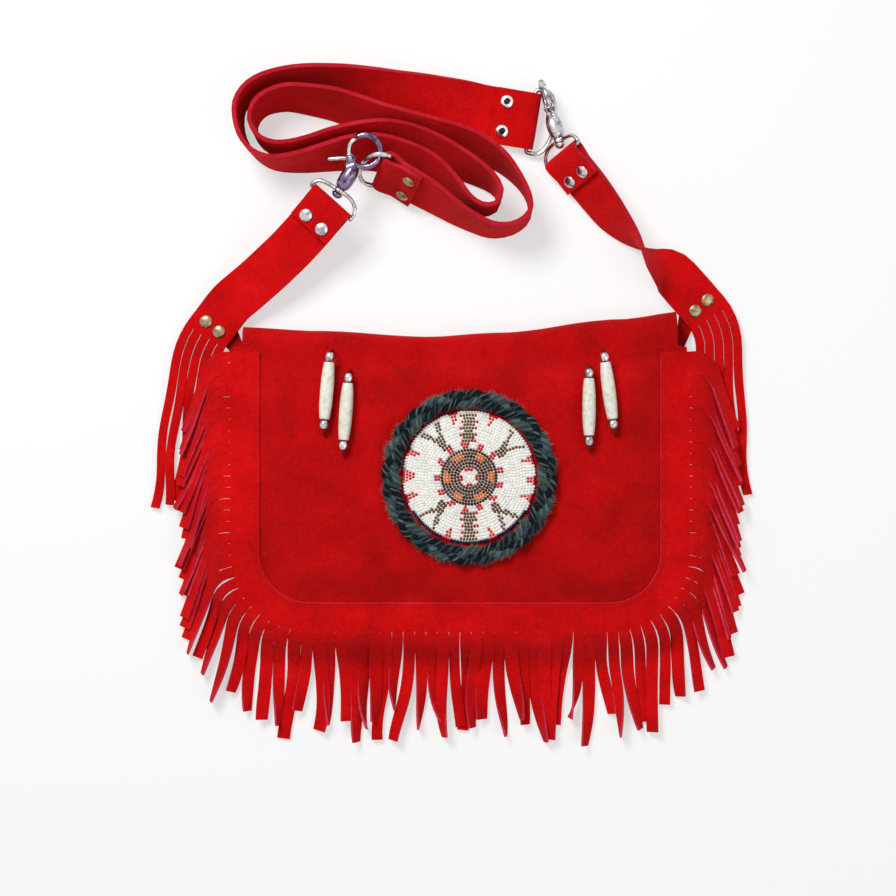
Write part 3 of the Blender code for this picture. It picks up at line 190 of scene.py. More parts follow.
def suede(name, dark, middle, bright):
    """Napped hide in three shades of one dye."""
    finish, tree, shader = new_finish(name, 0.95, specular=0.12)
    patches = speckle(tree, PATCH_SCALE, 5.0, 0.62)
    nap = speckle(tree, NAP_SCALE, 5.0, 0.7)
    value = mixed(tree, patches, nap, NAP_SHARE)
    tone = shades(tree, value, [(0.30, dark), (0.50, middle), (0.68, bright)])
    tree.links.new(tone, shader.inputs["Base Color"])
    raised(tree, shader, [
        (speckle(tree, DENT_SCALE, 3.0), 0.55, 0.0016),
        (nap, 0.5, 0.0006),
        (speckle(tree, FIBRE_SCALE, 3.0), 0.55, 0.00025),
    ])
    shader.inputs["Sheen Weight"].default_value = NAP_SHEEN
    shader.inputs["Sheen Roughness"].default_value = 0.55
    shader.inputs["Sheen Tint"].default_value = (0.95, 0.10, 0.12, 1.0)
    return finish


red_suede = suede("red_suede_nap", (0.36, 0.0004, 0.0010), (0.57, 0.0010, 0.0018), (0.74, 0.0035, 0.0050))
# The flap, back, front and gusset take a darker copy of the same suede. The difference from the fringe's
# suede is painted shade, not a different dye.
shaded_flap_suede = suede("shaded_flap_suede_nap", (0.27, 0.0003, 0.0008), (0.46, 0.0008, 0.0014), (0.60, 0.0025, 0.0035))
strap_edge = suede("strap_cut_edge", (0.30, 0.003, 0.008), (0.44, 0.008, 0.020), (0.58, 0.020, 0.045))
cut_edge = suede("suede_cut_edge", (0.42, 0.010, 0.030), (0.58, 0.030, 0.070), (0.72, 0.075, 0.140))
lace_leather = suede("lace_leather", (0.16, 0.001, 0.002), (0.24, 0.002, 0.003), (0.34, 0.006, 0.008))
print("suede finishes", red_suede.name, cut_edge.name, lace_leather.name)

# %% [markdown]
# Plated metal is never even. Handling rubs it, so its shade and its roughness both follow a
# noise. Bone has a pale grain and a soft polish. Beads, wool and thread take their colours from
# the mesh, because neighbours differ in colour and one finish can then serve them all.

# %% Metal, bone, bead and yarn finishes


def plated(name, worn, clean, low_rough, high_rough):
    """Plated metal, darker and rougher where it is worn."""
    finish, tree, shader = new_finish(name, low_rough, metallic=1.0)
    wear = speckle(tree, 260.0, 6.0, 0.65)
    tree.links.new(shades(tree, wear, [(0.36, worn), (0.56, clean)]), shader.inputs["Base Color"])
    spread = tree.nodes.new("ShaderNodeMapRange")
    spread.inputs["To Min"].default_value = high_rough
    spread.inputs["To Max"].default_value = low_rough
    tree.links.new(wear, spread.inputs["Value"])
    tree.links.new(spread.outputs["Result"], shader.inputs["Roughness"])
    raised(tree, shader, [(speckle(tree, 900.0, 3.0), 0.10, 0.0002)])
    return finish


nickel = plated("nickel_plate", (0.20, 0.18, 0.19), (0.60, 0.58, 0.60), 0.12, 0.36)
# The left hook's body is the same nickel as the right hook's. Its darker purple tone is a painted dark
# reflection.
reflection_dark_nickel = plated("nickel_plate_painted_reflection", (0.035, 0.020, 0.045), (0.24, 0.18, 0.29), 0.10, 0.30)
old_brass = plated("antique_brass", (0.12, 0.07, 0.035), (0.40, 0.28, 0.17), 0.22, 0.45)
bright_rim = plated("eyelet_rim", (0.62, 0.60, 0.58), (0.90, 0.88, 0.86), 0.16, 0.35)
# A near-black finish for the eyelets' middles: painted shade where a hole would be.
painted_hole_shade = plated("eyelet_painted_hole_shade", (0.010, 0.008, 0.010), (0.030, 0.022, 0.026), 0.40, 0.60)

bone, bone_tree, bone_shader = new_finish("polished_bone", 0.32)
bone_grain = speckle(bone_tree, 300.0, 5.0, 0.6)
bone_tone = shades(bone_tree, bone_grain, [(0.30, (0.62, 0.56, 0.44)), (0.55, (0.83, 0.80, 0.70))])
bone_tree.links.new(bone_tone, bone_shader.inputs["Base Color"])
bone_shader.inputs["Subsurface Weight"].default_value = 0.08
raised(bone_tree, bone_shader, [(bone_grain, 0.12, 0.0003)])


def painted(name, attribute, roughness, specular, grain_scale, share):
    """A finish whose colour is kept on the mesh, broken up by a grain."""
    finish, tree, shader = new_finish(name, roughness, specular=specular)
    kept = tree.nodes.new("ShaderNodeAttribute")
    kept.attribute_name = attribute
    grain = shades(tree, speckle(tree, grain_scale), [(0.3, (0.55, 0.55, 0.55)), (0.6, (1.0, 1.0, 1.0))])
    tree.links.new(tinted(tree, kept.outputs["Color"], grain, share), shader.inputs["Base Color"])
    raised(tree, shader, [(speckle(tree, grain_scale * 2.0), 0.25, 0.0002)])
    return finish


bead_glass = painted("seed_bead_glass", "bead_colour", 0.36, 0.18, 700.0, 0.10)
yarn_wool = painted("braid_wool", "yarn_colour", 0.95, 0.1, 1500.0, 0.7)
thread = painted("band_thread", "thread_colour", 0.8, 0.2, 1800.0, 0.5)
print("finishes", len(bpy.data.materials))

# %% [markdown]
# All leather pieces are cut from flat hide. A cloth simulation could drape them, but thick straps
# and slit strips would be lost in it, so each gets a middle surface in mesh code. Solidify gives
# it the hide's thickness, and its rim takes the pale cut edge. A slow noise, seeded so that it
# comes out the same each time, then eases every sheet out of true, as real hide lies.

# %% Sheet helpers
SUEDE = 0.0018
GAP = 0.0003
BAG_CENTRE_X = 0.006
HINGE_Y = 0.033
UNEVEN_SCALE = 70.0
TABLE_CLEAR = 0.0001
CREASE_ANGLE = 50.0


def settle(name, bm, thick, ease=0.00022, finishes=(red_suede, strap_edge)):
    """Makes the middle surface a sheet of hide and returns it with its flat area."""
    area = sum(face.calc_area() for face in bm.faces)
    mesh = bpy.data.meshes.new(name)
    bm.to_mesh(mesh)
    bm.free()
    piece = bpy.data.objects.new(name, mesh)
    bpy.context.scene.collection.objects.link(piece)
    for finish in finishes:
        mesh.materials.append(finish)
    solid = piece.modifiers.new("hide", "SOLIDIFY")
    solid.thickness = thick
    solid.offset = 0.0
    solid.use_even_offset = True
    solid.material_offset_rim = 1
    bpy.context.view_layer.objects.active = piece
    bpy.ops.object.modifier_apply(modifier="hide")
    for vertex in piece.data.vertices:
        vertex.co += noise.noise_vector(vertex.co * UNEVEN_SCALE) * ease
        vertex.co.z = max(vertex.co.z, TABLE_CLEAR)
    piece.data.shade_smooth()
    piece.data.set_sharp_from_angle(angle=math.radians(CREASE_ANGLE))
    print(name, "faces", len(piece.data.polygons), "flat area", round(area, 5))
    return piece, area

# %% [markdown]
# A strap's path is known at a few keys only. A smooth curve through them is read off at even
# steps, and each step gets its heading, width direction and face normal. Rolling these round the
# heading is what stands a strap on its edge or lays it flat. A ribbon of faces is then strung
# along them, which a bevelled curve could not fold back on itself.

# %% Route helpers
SPLINE_READS = 12


def smooth_route(keys, step):
    """A smooth curve through the keys, read off about every step along its length."""
    keys = [tuple(float(v) for v in key) for key in keys]
    first = tuple(2 * a - b for a, b in zip(keys[0], keys[1]))
    last = tuple(2 * a - b for a, b in zip(keys[-1], keys[-2]))
    ring = [first, *keys, last]
    dense = []
    for a, b, c, d in zip(ring, ring[1:], ring[2:], ring[3:]):
        for k in range(SPLINE_READS):
            t = k / SPLINE_READS
            dense.append(tuple(
                0.5 * (
                    2 * q + (r - p) * t
                    + (2 * p - 5 * q + 4 * r - s) * t * t
                    + (3 * q - p - 3 * r + s) * t ** 3
                )
                for p, q, r, s in zip(a, b, c, d)
            ))
    dense.append(keys[-1])
    runs = [0.0]
    for one, two in zip(dense, dense[1:]):
        runs.append(runs[-1] + math.hypot(two[0] - one[0], two[1] - one[1]))
    count = max(2, round(runs[-1] / step))
    found, k = [], 0
    for i in range(count + 1):
        want = runs[-1] * i / count
        while k < len(runs) - 2 and runs[k + 1] < want:
            k += 1
        share = (want - runs[k]) / max(runs[k + 1] - runs[k], 1e-9)
        found.append(tuple(p + (q - p) * share for p, q in zip(dense[k], dense[k + 1])))
    return found


def frames_along(centres, rolls):
    """For each centre: heading, width direction and face normal, rolled round the heading."""
    frames = []
    for i, roll in enumerate(rolls):
        ahead = centres[min(i + 1, len(centres) - 1)] - centres[max(i - 1, 0)]
        ahead.normalize()
        left = Vector((-ahead.y, ahead.x, 0.0)).normalized()
        up = ahead.cross(left)
        angle = math.radians(roll)
        across = left * math.cos(angle) + up * math.sin(angle)
        frames.append((ahead, across, ahead.cross(across)))
    return frames


def frame_at(centres, frames, distance):
    """Centre and directions at a distance along a route."""
    gone = 0.0
    for i in range(1, len(centres)):
        step = (centres[i] - centres[i - 1]).length
        if gone + step >= distance:
            share = (distance - gone) / step
            turned = [a.lerp(b, share).normalized() for a, b in zip(frames[i - 1], frames[i])]
            return centres[i - 1].lerp(centres[i], share), *turned
        gone += step
    return centres[-1], *frames[-1]


def ribbon(bm, rows, width, columns=6):
    """Adds a ribbon of the width through the rows, several faces wide."""
    lines = [
        [bm.verts.new(centre + across * width * (c / columns - 0.5)) for c in range(columns + 1)]
        for centre, across in rows
    ]
    for one, two in zip(lines, lines[1:]):
        for c in range(columns):
            bm.faces.new((one[c], two[c], two[c + 1], one[c + 1]))
    return lines

# %% [markdown]
# The front and the flap are soft pillows: a flat border, a slope and a level middle. A grid would
# be simpler, but it breaks at the rounded corners. Each is drawn as rings at growing insets from
# one outline, because rings keep the corners true.

# %% Pillow helpers
BORDER = 0.012
SLOPE = 0.026
SIDE_STEPS, ARC_STEPS, FLOOR_STEPS = 14, 16, 26
RING_INSETS = [0.0, 0.004, 0.008, BORDER] + [BORDER + SLOPE * k / 10 for k in range(1, 11)]


def outline(half_width, top, bottom, corner, inset, top_share, closed_top):
    """Points of a rounded outline, from its top left down and round to its top right."""
    x = half_width - inset
    y_top, y_low = top - inset * top_share, bottom + inset
    radius = corner - inset
    points = [(-x, y_top + (y_low + radius - y_top) * i / SIDE_STEPS) for i in range(SIDE_STEPS)]
    for i in range(ARC_STEPS):
        angle = math.pi * (1.0 + 0.5 * i / ARC_STEPS)
        points.append((-x + radius + radius * math.cos(angle), y_low + radius + radius * math.sin(angle)))
    points += [(-x + radius + 2 * (x - radius) * i / FLOOR_STEPS, y_low) for i in range(FLOOR_STEPS)]
    for i in range(ARC_STEPS):
        angle = math.pi * (1.5 + 0.5 * i / ARC_STEPS)
        points.append((x - radius + radius * math.cos(angle), y_low + radius + radius * math.sin(angle)))
    for i in range(SIDE_STEPS + 1):
        points.append((x, y_low + radius + (y_top - y_low - radius) * i / SIDE_STEPS))
    if closed_top:
        points += [(x - 2 * x * i / FLOOR_STEPS, y_top) for i in range(1, FLOOR_STEPS)]
    return [Vector((px + BAG_CENTRE_X, py)) for px, py in points]


def crown_height(inset, crown):
    """How high a pillow stands at an inset from its edge."""
    share = min(max((inset - BORDER) / SLOPE, 0.0), 1.0)
    return crown * share * share * (3.0 - 2.0 * share)


def pillow(bm, half_width, top, bottom, corner, height, crown, top_share, closed_top):
    """Adds a pillow to the mesh, ring by ring, and returns its rings."""
    rings = []
    for inset in RING_INSETS:
        ring = outline(half_width, top, bottom, corner, inset, top_share, closed_top)
        z = height + crown_height(inset, crown)
        rings.append([bm.verts.new((p.x, p.y, z)) for p in ring])
    for outer, inner in zip(rings, rings[1:]):
        count = len(outer)
        for i in range(count if closed_top else count - 1):
            j = (i + 1) % count
            bm.faces.new((outer[i], outer[j], inner[j], inner[i]))
    bm.faces.new(rings[-1])
    return rings

# %% [markdown]
# The strap's coil and the two tabs follow the same routes as their solids, read here at a finer
# step. A key of the strap is x, y, roll and lift, and a key of a tab is x, y, z and roll. The
# strap stands on its edge for most of its way, and only its ends turn flat.

# %% Routes
STRAP_WIDTH, STRAP_THICK = 0.034, 0.0026
TAB_WIDTH, TAB_THICK = 0.028, 0.0024
RING_WIRE, LOOP_WIRE = 0.0016, 0.0013
TAIL_LENGTH, TAB_TAIL = 0.022, 0.019
FOLD_RISE, FOLD_CLEAR = 0.009, 0.002
EASE_START, EASE_LENGTH = 0.008, 0.020
STRAP_ROUTE = [
    (0.0486, 0.1707, 172, 0.0023), (0.0356, 0.1729, 172, 0.0023), (0.0226, 0.1751, 172, 0.0023),
    (0.0060, 0.1784, 160, 0.0008), (-0.0110, 0.1819, 147, 0.0), (-0.0342, 0.1860, 136, 0.0),
    (-0.0600, 0.1917, 120, 0.0), (-0.0858, 0.1947, 108, 0.0), (-0.1056, 0.1938, 100, 0.0),
    (-0.1188, 0.1884, 97, 0.0), (-0.1262, 0.1794, 95, 0.0), (-0.1273, 0.1692, 93, 0.0),
    (-0.1245, 0.1584, 92, 0.0), (-0.1176, 0.1496, 90, 0.0), (-0.1062, 0.1442, 85, 0.0),
    (-0.0900, 0.1447, 78, 0.0), (-0.0750, 0.1474, 71, 0.0), (-0.0600, 0.1502, 63, 0.0),
    (-0.0450, 0.1506, 59, 0.0), (-0.0300, 0.1470, 58, 0.0), (-0.0132, 0.1398, 61, 0.0),
    (0.0012, 0.1282, 70, 0.0), (0.0096, 0.1202, 78, 0.0), (0.0186, 0.1160, 84, 0.0),
    (0.0268, 0.1172, 88, 0.0), (0.0300, 0.1236, 92, 0.0), (0.0266, 0.1304, 98, 0.0),
    (0.0174, 0.1374, 106, 0.0), (0.0030, 0.1449, 115, 0.0), (-0.0120, 0.1518, 121, 0.0),
    (-0.0288, 0.1575, 122, 0.0), (-0.0450, 0.1592, 120, 0.0), (-0.0660, 0.1570, 113, 0.0),
    (-0.0840, 0.1533, 105, 0.0), (-0.1002, 0.1519, 98, 0.0), (-0.1116, 0.1555, 93, 0.0),
    (-0.1178, 0.1632, 90, 0.0), (-0.1182, 0.1710, 86, 0.0), (-0.1126, 0.1788, 80, 0.0),
    (-0.1014, 0.1830, 74, 0.0), (-0.0900, 0.1829, 70, 0.0), (-0.0720, 0.1800, 66, 0.0),
    (-0.0600, 0.1762, 64, 0.0), (-0.0468, 0.1711, 62, 0.0), (-0.0300, 0.1658, 60, 0.0),
    (-0.0120, 0.1610, 60, 0.0), (0.0066, 0.1563, 63, 0.0), (0.0192, 0.1518, 69, 0.0),
    (0.0312, 0.1446, 78, 0.0), (0.0408, 0.1344, 86, 0.0), (0.0468, 0.1248, 90, 0.0),
    (0.0486, 0.1164, 91, 0.0), (0.0450, 0.1092, 93, 0.0), (0.0366, 0.1044, 95, 0.0),
    (0.0252, 0.1038, 98, 0.0), (0.0126, 0.1088, 102, 0.0), (0.0000, 0.1156, 107, 0.0015),
    (-0.0168, 0.1250, 115, 0.0038), (-0.0279, 0.1318, 115, 0.0038), (-0.0390, 0.1385, 115, 0.0038),
]
TAB_LEFT_ROUTE = [
    (-0.0720, 0.1176, 0.0285, 0), (-0.0792, 0.1095, 0.0263, 0), (-0.0864, 0.1014, 0.0241, 0),
    (-0.0992, 0.0885, 0.0195, 2), (-0.1145, 0.0752, 0.0135, 3), (-0.1255, 0.0664, 0.0092, 2),
    (-0.1335, 0.0597, 0.0068, 0), (-0.1415, 0.0495, 0.0054, 0), (-0.1489, 0.0400, 0.0042, 0),
    (-0.1540, 0.0290, 0.0036, 0), (-0.1565, 0.0170, 0.0034, 0),
]
TAB_RIGHT_ROUTE = [
    (0.0687, 0.1475, 0.0155, 47), (0.0756, 0.1389, 0.0150, 47), (0.0825, 0.1303, 0.0145, 47),
    (0.0970, 0.1130, 0.0140, 56), (0.1120, 0.0970, 0.0147, 84), (0.1245, 0.0845, 0.0140, 128),
    (0.1345, 0.0780, 0.0098, 168), (0.1423, 0.0700, 0.0073, 180), (0.1510, 0.0605, 0.0055, 180),
    (0.1588, 0.0510, 0.0041, 180), (0.1630, 0.0395, 0.0036, 180), (0.1637, 0.0275, 0.0034, 180),
]


print("route keys", len(STRAP_ROUTE), len(TAB_LEFT_ROUTE), len(TAB_RIGHT_ROUTE))

# %% [markdown]
# Strap and tabs are folded over a metal bar and riveted back on themselves. The fold could be a
# separate loop, but one strip that goes round the bar shows the real bulge and its two layers.
# The fold is laid out along and off the strap's face, and the layers ease together past the
# rivets.

# %% Folded ends


def fold_profile(bar_radius, thick, tail):
    """Middle line of a strap end folded round a bar, along and off its face, tail end first."""
    lie = (thick + GAP) / 2
    turn = bar_radius + GAP + thick / 2
    profile = [(tail, lie), ((tail + FOLD_RISE) / 2, lie), (FOLD_RISE, lie)]
    profile += [(FOLD_RISE * 0.55, lie + (turn - lie) * 0.62), (turn * 0.5, turn)]
    for angle in range(105, 256, 15):
        turned = math.radians(angle)
        profile.append((turn * math.cos(turned), turn * math.sin(turned)))
    return profile + [
        (turn * 0.5, -turn), (FOLD_RISE * 0.55, -lie - (turn - lie) * 0.62), (FOLD_RISE, -lie),
    ]


def folded_end(centres, frames, bar_radius, thick, tail, face):
    """Rows of a strap's end that goes round a bar and back along its face."""
    into, width_way, normal = frames[0]
    rows = []
    for along, off in fold_profile(bar_radius, thick, tail):
        if along < FOLD_RISE:
            rows.append((centres[0] + into * along + normal * off * face, width_way))
        else:
            centre, _, across, side = frame_at(centres, frames, along)
            rows.append((centre + side * off * face, across))
    return rows


def plain_rows(centres, frames, start, end, eased, offset):
    """Rows of the single strap between two distances, eased off the fold's layer."""
    rows, gone = [], 0.0
    for i, (centre, turned) in enumerate(zip(centres, frames)):
        if i:
            gone += (centre - centres[i - 1]).length
        if start < gone < end:
            rows.append((centre + turned[2] * offset * eased(gone), turned[1]))
    return rows


def eased_past(tail, distance):
    """1 along the fold's two layers, easing to 0 past its tail."""
    return max(0.0, 1.0 - max(distance - tail - EASE_START, 0.0) / EASE_LENGTH)

# %% [markdown]
# The long strap is one piece of hide between two D-rings. Its rows are the first folded end, the
# coil, and the last folded end, and one ribbon joins them. So the hide runs on through both folds
# without a seam, as the real one does.

# %% Long strap
STRAP_STEP = 0.0045


def strap_layout(step):
    """Centres and frames of the coil, lifted so that the strap stands on the table."""
    centres, rolls = [], []
    for x, y, roll, lift in smooth_route(STRAP_ROUTE, step):
        angle = math.radians(roll)
        half = (abs(math.sin(angle)) * STRAP_WIDTH + abs(math.cos(angle)) * STRAP_THICK) / 2
        centres.append(Vector((x, y, max(half + GAP, RING_WIRE + GAP + STRAP_THICK + GAP) + lift)))
        rolls.append(roll)
    return centres, frames_along(centres, rolls)


strap_centres, strap_frames = strap_layout(STRAP_STEP)
strap_lie = (STRAP_THICK + GAP) / 2
strap_length = sum((b - a).length for a, b in zip(strap_centres, strap_centres[1:]))
turned_back = [(-ahead, across, normal) for ahead, across, normal in strap_frames]
strap_start = FOLD_RISE + FOLD_CLEAR
strap_rows = folded_end(strap_centres, strap_frames, RING_WIRE, STRAP_THICK, TAIL_LENGTH, -1.0)
strap_rows += plain_rows(
    strap_centres, strap_frames, strap_start, strap_length - strap_start,
    lambda gone: eased_past(TAIL_LENGTH, min(gone, strap_length - gone)), strap_lie,
)
strap_rows += folded_end(
    strap_centres[::-1], turned_back[::-1], RING_WIRE, STRAP_THICK, TAIL_LENGTH, -1.0
)[::-1]
strap_surface = bmesh.new()
ribbon(strap_surface, strap_rows, STRAP_WIDTH, 8)
strap_skin, strap_area = settle("strap_skin", strap_surface, STRAP_THICK)
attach(strap_skin, "bag")
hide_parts("long_strap")
print("strap", round(strap_length, 3), "m between its bars")

# %% [markdown]
# Each tab is one cut of hide, folded over its swivel loop, with its lower end slit into five long
# strips. The strips could be cut from one ribbon, but each turns, tips and falls to the table by
# itself, so each is a narrow ribbon of its own that starts at the tab's last rows.

# %% Tabs
TAB_STRIPS = 5
TAB_STRIP_LENGTH = 0.084
STRIP_SLIT = 0.0005
TAB_STEP = 0.005
TAB_FAN = 4.0
STRIP_ROWS = 18
SLIT_ROWS = 5
TAB_LAYER = 0.0018
STRIP_TIP = 0.45
STRIP_DRIFT = 0.0022


def tab_strips(bm, rows, heading):
    """Strips that go on from the tab's last row, turn towards the heading and drop to the table."""
    centre, across = rows[-1]
    ahead = (centre - rows[-2][0]).normalized()
    floor = TAB_THICK / 2 + GAP
    strip = (TAB_WIDTH - STRIP_SLIT * (TAB_STRIPS - 1)) / TAB_STRIPS
    side = Vector((across.x, across.y, 0.0)).normalized()
    turn = 1.0 if (ahead.x * side.y - ahead.y * side.x) > 0 else -1.0
    for k in range(TAB_STRIPS):
        place = -TAB_WIDTH / 2 + k * (strip + STRIP_SLIT) + strip / 2
        aimed = math.radians(heading + TAB_FAN * place / (TAB_WIDTH / 2) * turn)
        end = Vector((math.cos(aimed), math.sin(aimed), 0.0))
        start = Vector((ahead.x, ahead.y, 0.0)).normalized()
        spot = centre + across * place
        length = TAB_STRIP_LENGTH * (1.0 - 0.10 * ((k * 2) % 5) / 5)
        phase = dice.uniform(0.0, 6.28)
        found = [(c + a * place, a) for c, a in rows[-SLIT_ROWS - 1:]]
        layer = TAB_LAYER * (k % 2)
        for i in range(1, STRIP_ROWS + 1):
            s = i / STRIP_ROWS
            way = start.lerp(end, min(1.0, 2.0 * s)).normalized()
            spot = spot + way * length / STRIP_ROWS
            fall = min(1.0, s * 3.0)
            fall = fall * fall * (3 - 2 * fall)
            normal = Vector((-way.y, way.x, 0.0)) * turn
            level = across.lerp(normal, min(1.0, 3.0 * s)).normalized()
            lean = STRIP_TIP * math.sin(phase + s * 5.0) * s
            height = centre.z + across.z * place * (1 - fall) - (centre.z - floor) * fall
            height += strip / 2 * abs(math.sin(lean)) + layer * s
            drift = normal * STRIP_DRIFT * math.sin(phase + s * 7.0) * s
            tipped = (level * math.cos(lean) + Vector((0, 0, 1)) * math.sin(lean)).normalized()
            found.append((Vector((spot.x, spot.y, height)) + drift, tipped))
        ribbon(bm, found, strip, 2)


def make_tab(side, route, heading):
    """Makes a tab of hide along its route and returns the route's centres and frames."""
    keys = smooth_route(route, TAB_STEP)
    centres = [Vector(key[:3]) for key in keys]
    frames = frames_along(centres, [key[3] for key in keys])
    rows = folded_end(centres, frames, LOOP_WIRE, TAB_THICK, TAB_TAIL, 1.0)
    lie = (TAB_THICK + GAP) / 2
    rows += plain_rows(
        centres, frames, FOLD_RISE + FOLD_CLEAR, math.inf, lambda gone: eased_past(TAB_TAIL, gone), -lie
    )
    bm = bmesh.new()
    ribbon(bm, rows[:-SLIT_ROWS], TAB_WIDTH, 8)
    tab_strips(bm, rows, heading)
    piece, area = settle(f"tab_{side}_skin", bm, TAB_THICK, 0.00016)
    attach(piece, "bag")
    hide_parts(f"tab_{side}")
    return centres, frames


left_tab = make_tab("left", TAB_LEFT_ROUTE, -95.0)
right_tab = make_tab("right", TAB_RIGHT_ROUTE, -88.0)

# %% [markdown]
# Back, spine and flap are one hide: it lies under the bag, rolls up over the top and comes down
# over the front. The back also carries a lug under each tab. The sizes are those of the solids,
# and the spine stands out further towards the bag's ends, which gives its top edge a wave.

# %% Shell sizes and lugs
BODY_HALF_WIDTH, BODY_BOTTOM, BODY_CORNER = 0.131, -0.127, 0.044
FLAP_HALF_WIDTH, FLAP_BOTTOM, FLAP_CORNER = 0.1365, -0.1365, 0.0465
FLAP_TOP_SHARE = 0.53
GUSSET_WIDTH = 0.012
MOUTH = 0.012
CROWN, FLAP_LIFT = 0.0068, 0.0012
BACK_MIDDLE = SUEDE / 2
FRONT_MIDDLE = SUEDE + GAP + GUSSET_WIDTH + GAP + SUEDE / 2
FLAP_MIDDLE = FRONT_MIDDLE + SUEDE + GAP
FLAP_TOP = FLAP_MIDDLE + SUEDE / 2
PLATEAU = FLAP_TOP + CROWN + FLAP_LIFT
SPINE_REACH = [
    (-0.132, 0.0105), (-0.080, 0.0080), (-0.012, 0.0045), (0.030, 0.0070), (0.102, 0.0150), (0.144, 0.0200),
]
SPINE_STEPS = 14
SPINE_LEDGE = 0.0014
LUG_NEAR, LUG_FAR, LUG_HALF_LENGTH, LUG_ROOT = 0.0095, 0.0110, 0.0068, 0.012
LEFT_LUG_SPOT, RIGHT_LUG_SPOT = (-0.1415, 0.0495), (0.1510, 0.0605)
ROOT_CLEAR = 0.001


def spine_reach(x):
    """How far the spine stands out past the hinge line at x."""
    for (x0, r0), (x1, r1) in zip(SPINE_REACH, SPINE_REACH[1:]):
        if x <= x1:
            share = max((x - x0) / (x1 - x0), 0.0)
            share = share * share * (3.0 - 2.0 * share)
            return r0 + (r1 - r0) * share
    return SPINE_REACH[-1][1]


def lug_corners(tab, spot, inward):
    """The four corners of the lug under a tab's lower rivets."""
    centres, frames = tab
    i = min(range(len(centres)), key=lambda k: math.dist(centres[k][:2], spot))
    ahead, across, normal = frames[i]
    up = normal if normal.z > 0 else -normal
    middle = centres[i] - up * (TAB_THICK / 2 + GAP + SUEDE / 2)
    way = across if across.x * inward > 0 else -across
    return [
        middle + way * reach + ahead * LUG_HALF_LENGTH * side
        for side in (-1, 1) for reach in (LUG_NEAR, -LUG_FAR)
    ]

# %% [markdown]
# The hide could be three pieces that meet at seams, but then it would tear when the flap opens.
# So the back, the lugs, the rows of the spine and the rings of the flap are joined into one
# surface.

# %% Shell surface
shell = bmesh.new()
back_ring = outline(BODY_HALF_WIDTH, HINGE_Y, BODY_BOTTOM, BODY_CORNER, 0.0, 0.0, True)
far = FLOOR_STEPS
left_root, right_root = back_ring[0].copy(), back_ring[-far].copy()
left_root.y -= LUG_ROOT
right_root.y -= LUG_ROOT
kept_left = [p for p in back_ring[1:SIDE_STEPS] if p.y < left_root.y - ROOT_CLEAR]
kept_right = [p for p in back_ring[-far - SIDE_STEPS:-far] if p.y < right_root.y - ROOT_CLEAR]
back_ring = (
    [back_ring[0], left_root] + kept_left + back_ring[SIDE_STEPS:-far - SIDE_STEPS]
    + kept_right + [right_root] + back_ring[-far:]
)
low = [shell.verts.new((p.x, p.y, BACK_MIDDLE)) for p in back_ring]
shell.faces.new(low)
lugs = (lug_corners(left_tab, LEFT_LUG_SPOT, 1.0), lug_corners(right_tab, RIGHT_LUG_SPOT, -1.0))
for (top_spot, root_spot), lug in zip(((low[0], low[1]), (low[-far], low[-far - 1])), lugs):
    near_up, far_up, near_down, far_down = [shell.verts.new(corner) for corner in lug]
    shell.faces.new((top_spot, root_spot, near_down, near_up))
    shell.faces.new((near_up, near_down, far_down, far_up))
top_row = [low[0]] + low[:-far:-1] + [low[-far]]
row = top_row
for step in range(1, SPINE_STEPS + 1):
    angle = math.pi * step / SPINE_STEPS
    fresh = []
    for spot in top_row:
        y = HINGE_Y + SPINE_LEDGE + spine_reach(spot.co.x) * math.sin(angle)
        z = BACK_MIDDLE + (FLAP_MIDDLE - BACK_MIDDLE) * (1 - math.cos(angle)) / 2
        fresh.append(shell.verts.new((spot.co.x, y, z)))
    for i in range(len(row) - 1):
        shell.faces.new((row[i], row[i + 1], fresh[i + 1], fresh[i]))
    row = fresh
flap_rings = pillow(
    shell, FLAP_HALF_WIDTH, HINGE_Y, FLAP_BOTTOM, FLAP_CORNER, FLAP_MIDDLE,
    CROWN + FLAP_LIFT, FLAP_TOP_SHARE, True,
)
edge = flap_rings[0]
flap_row = [edge[0]] + edge[:-far:-1] + [edge[-far]]
for i in range(len(row) - 1):
    shell.faces.new((row[i], row[i + 1], flap_row[i + 1], flap_row[i]))
bmesh.ops.recalc_face_normals(shell, faces=shell.faces)
print("shell rows", SPINE_STEPS, "rings", len(flap_rings))

# %% [markdown]
# The joined surface becomes one sheet of hide, in place of the back panel and the flap solids.

# %% Shell piece
# The shell's darker suede is painted shade, so that the flap reads darker than the fringe band sewn on it.
shell_skin, shell_area = settle("shell_skin", shell, SUEDE, 0.00012, (shaded_flap_suede, strap_edge))
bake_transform(shell_skin)
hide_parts("back_panel", "flap")

# %% [markdown]
# The pouch front is the same pillow with its top left open, because that is the mouth under the
# flap. It shows only when the flap opens, and its border is sewn to the gusset.

# %% Front
front = bmesh.new()
pillow(front, BODY_HALF_WIDTH, MOUTH, BODY_BOTTOM, BODY_CORNER, FRONT_MIDDLE, CROWN, 0.0, False)
front_skin, front_area = settle("front_skin", front, SUEDE, 0.0001, (shaded_flap_suede, strap_edge))
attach(front_skin, "bag")
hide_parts("front_panel")

# %% [markdown]
# The gusset is one strip that runs down one side, round the bottom and up the other. It stands on
# its edge between back and front, so it is a ribbon like the strap, rolled by a quarter turn.

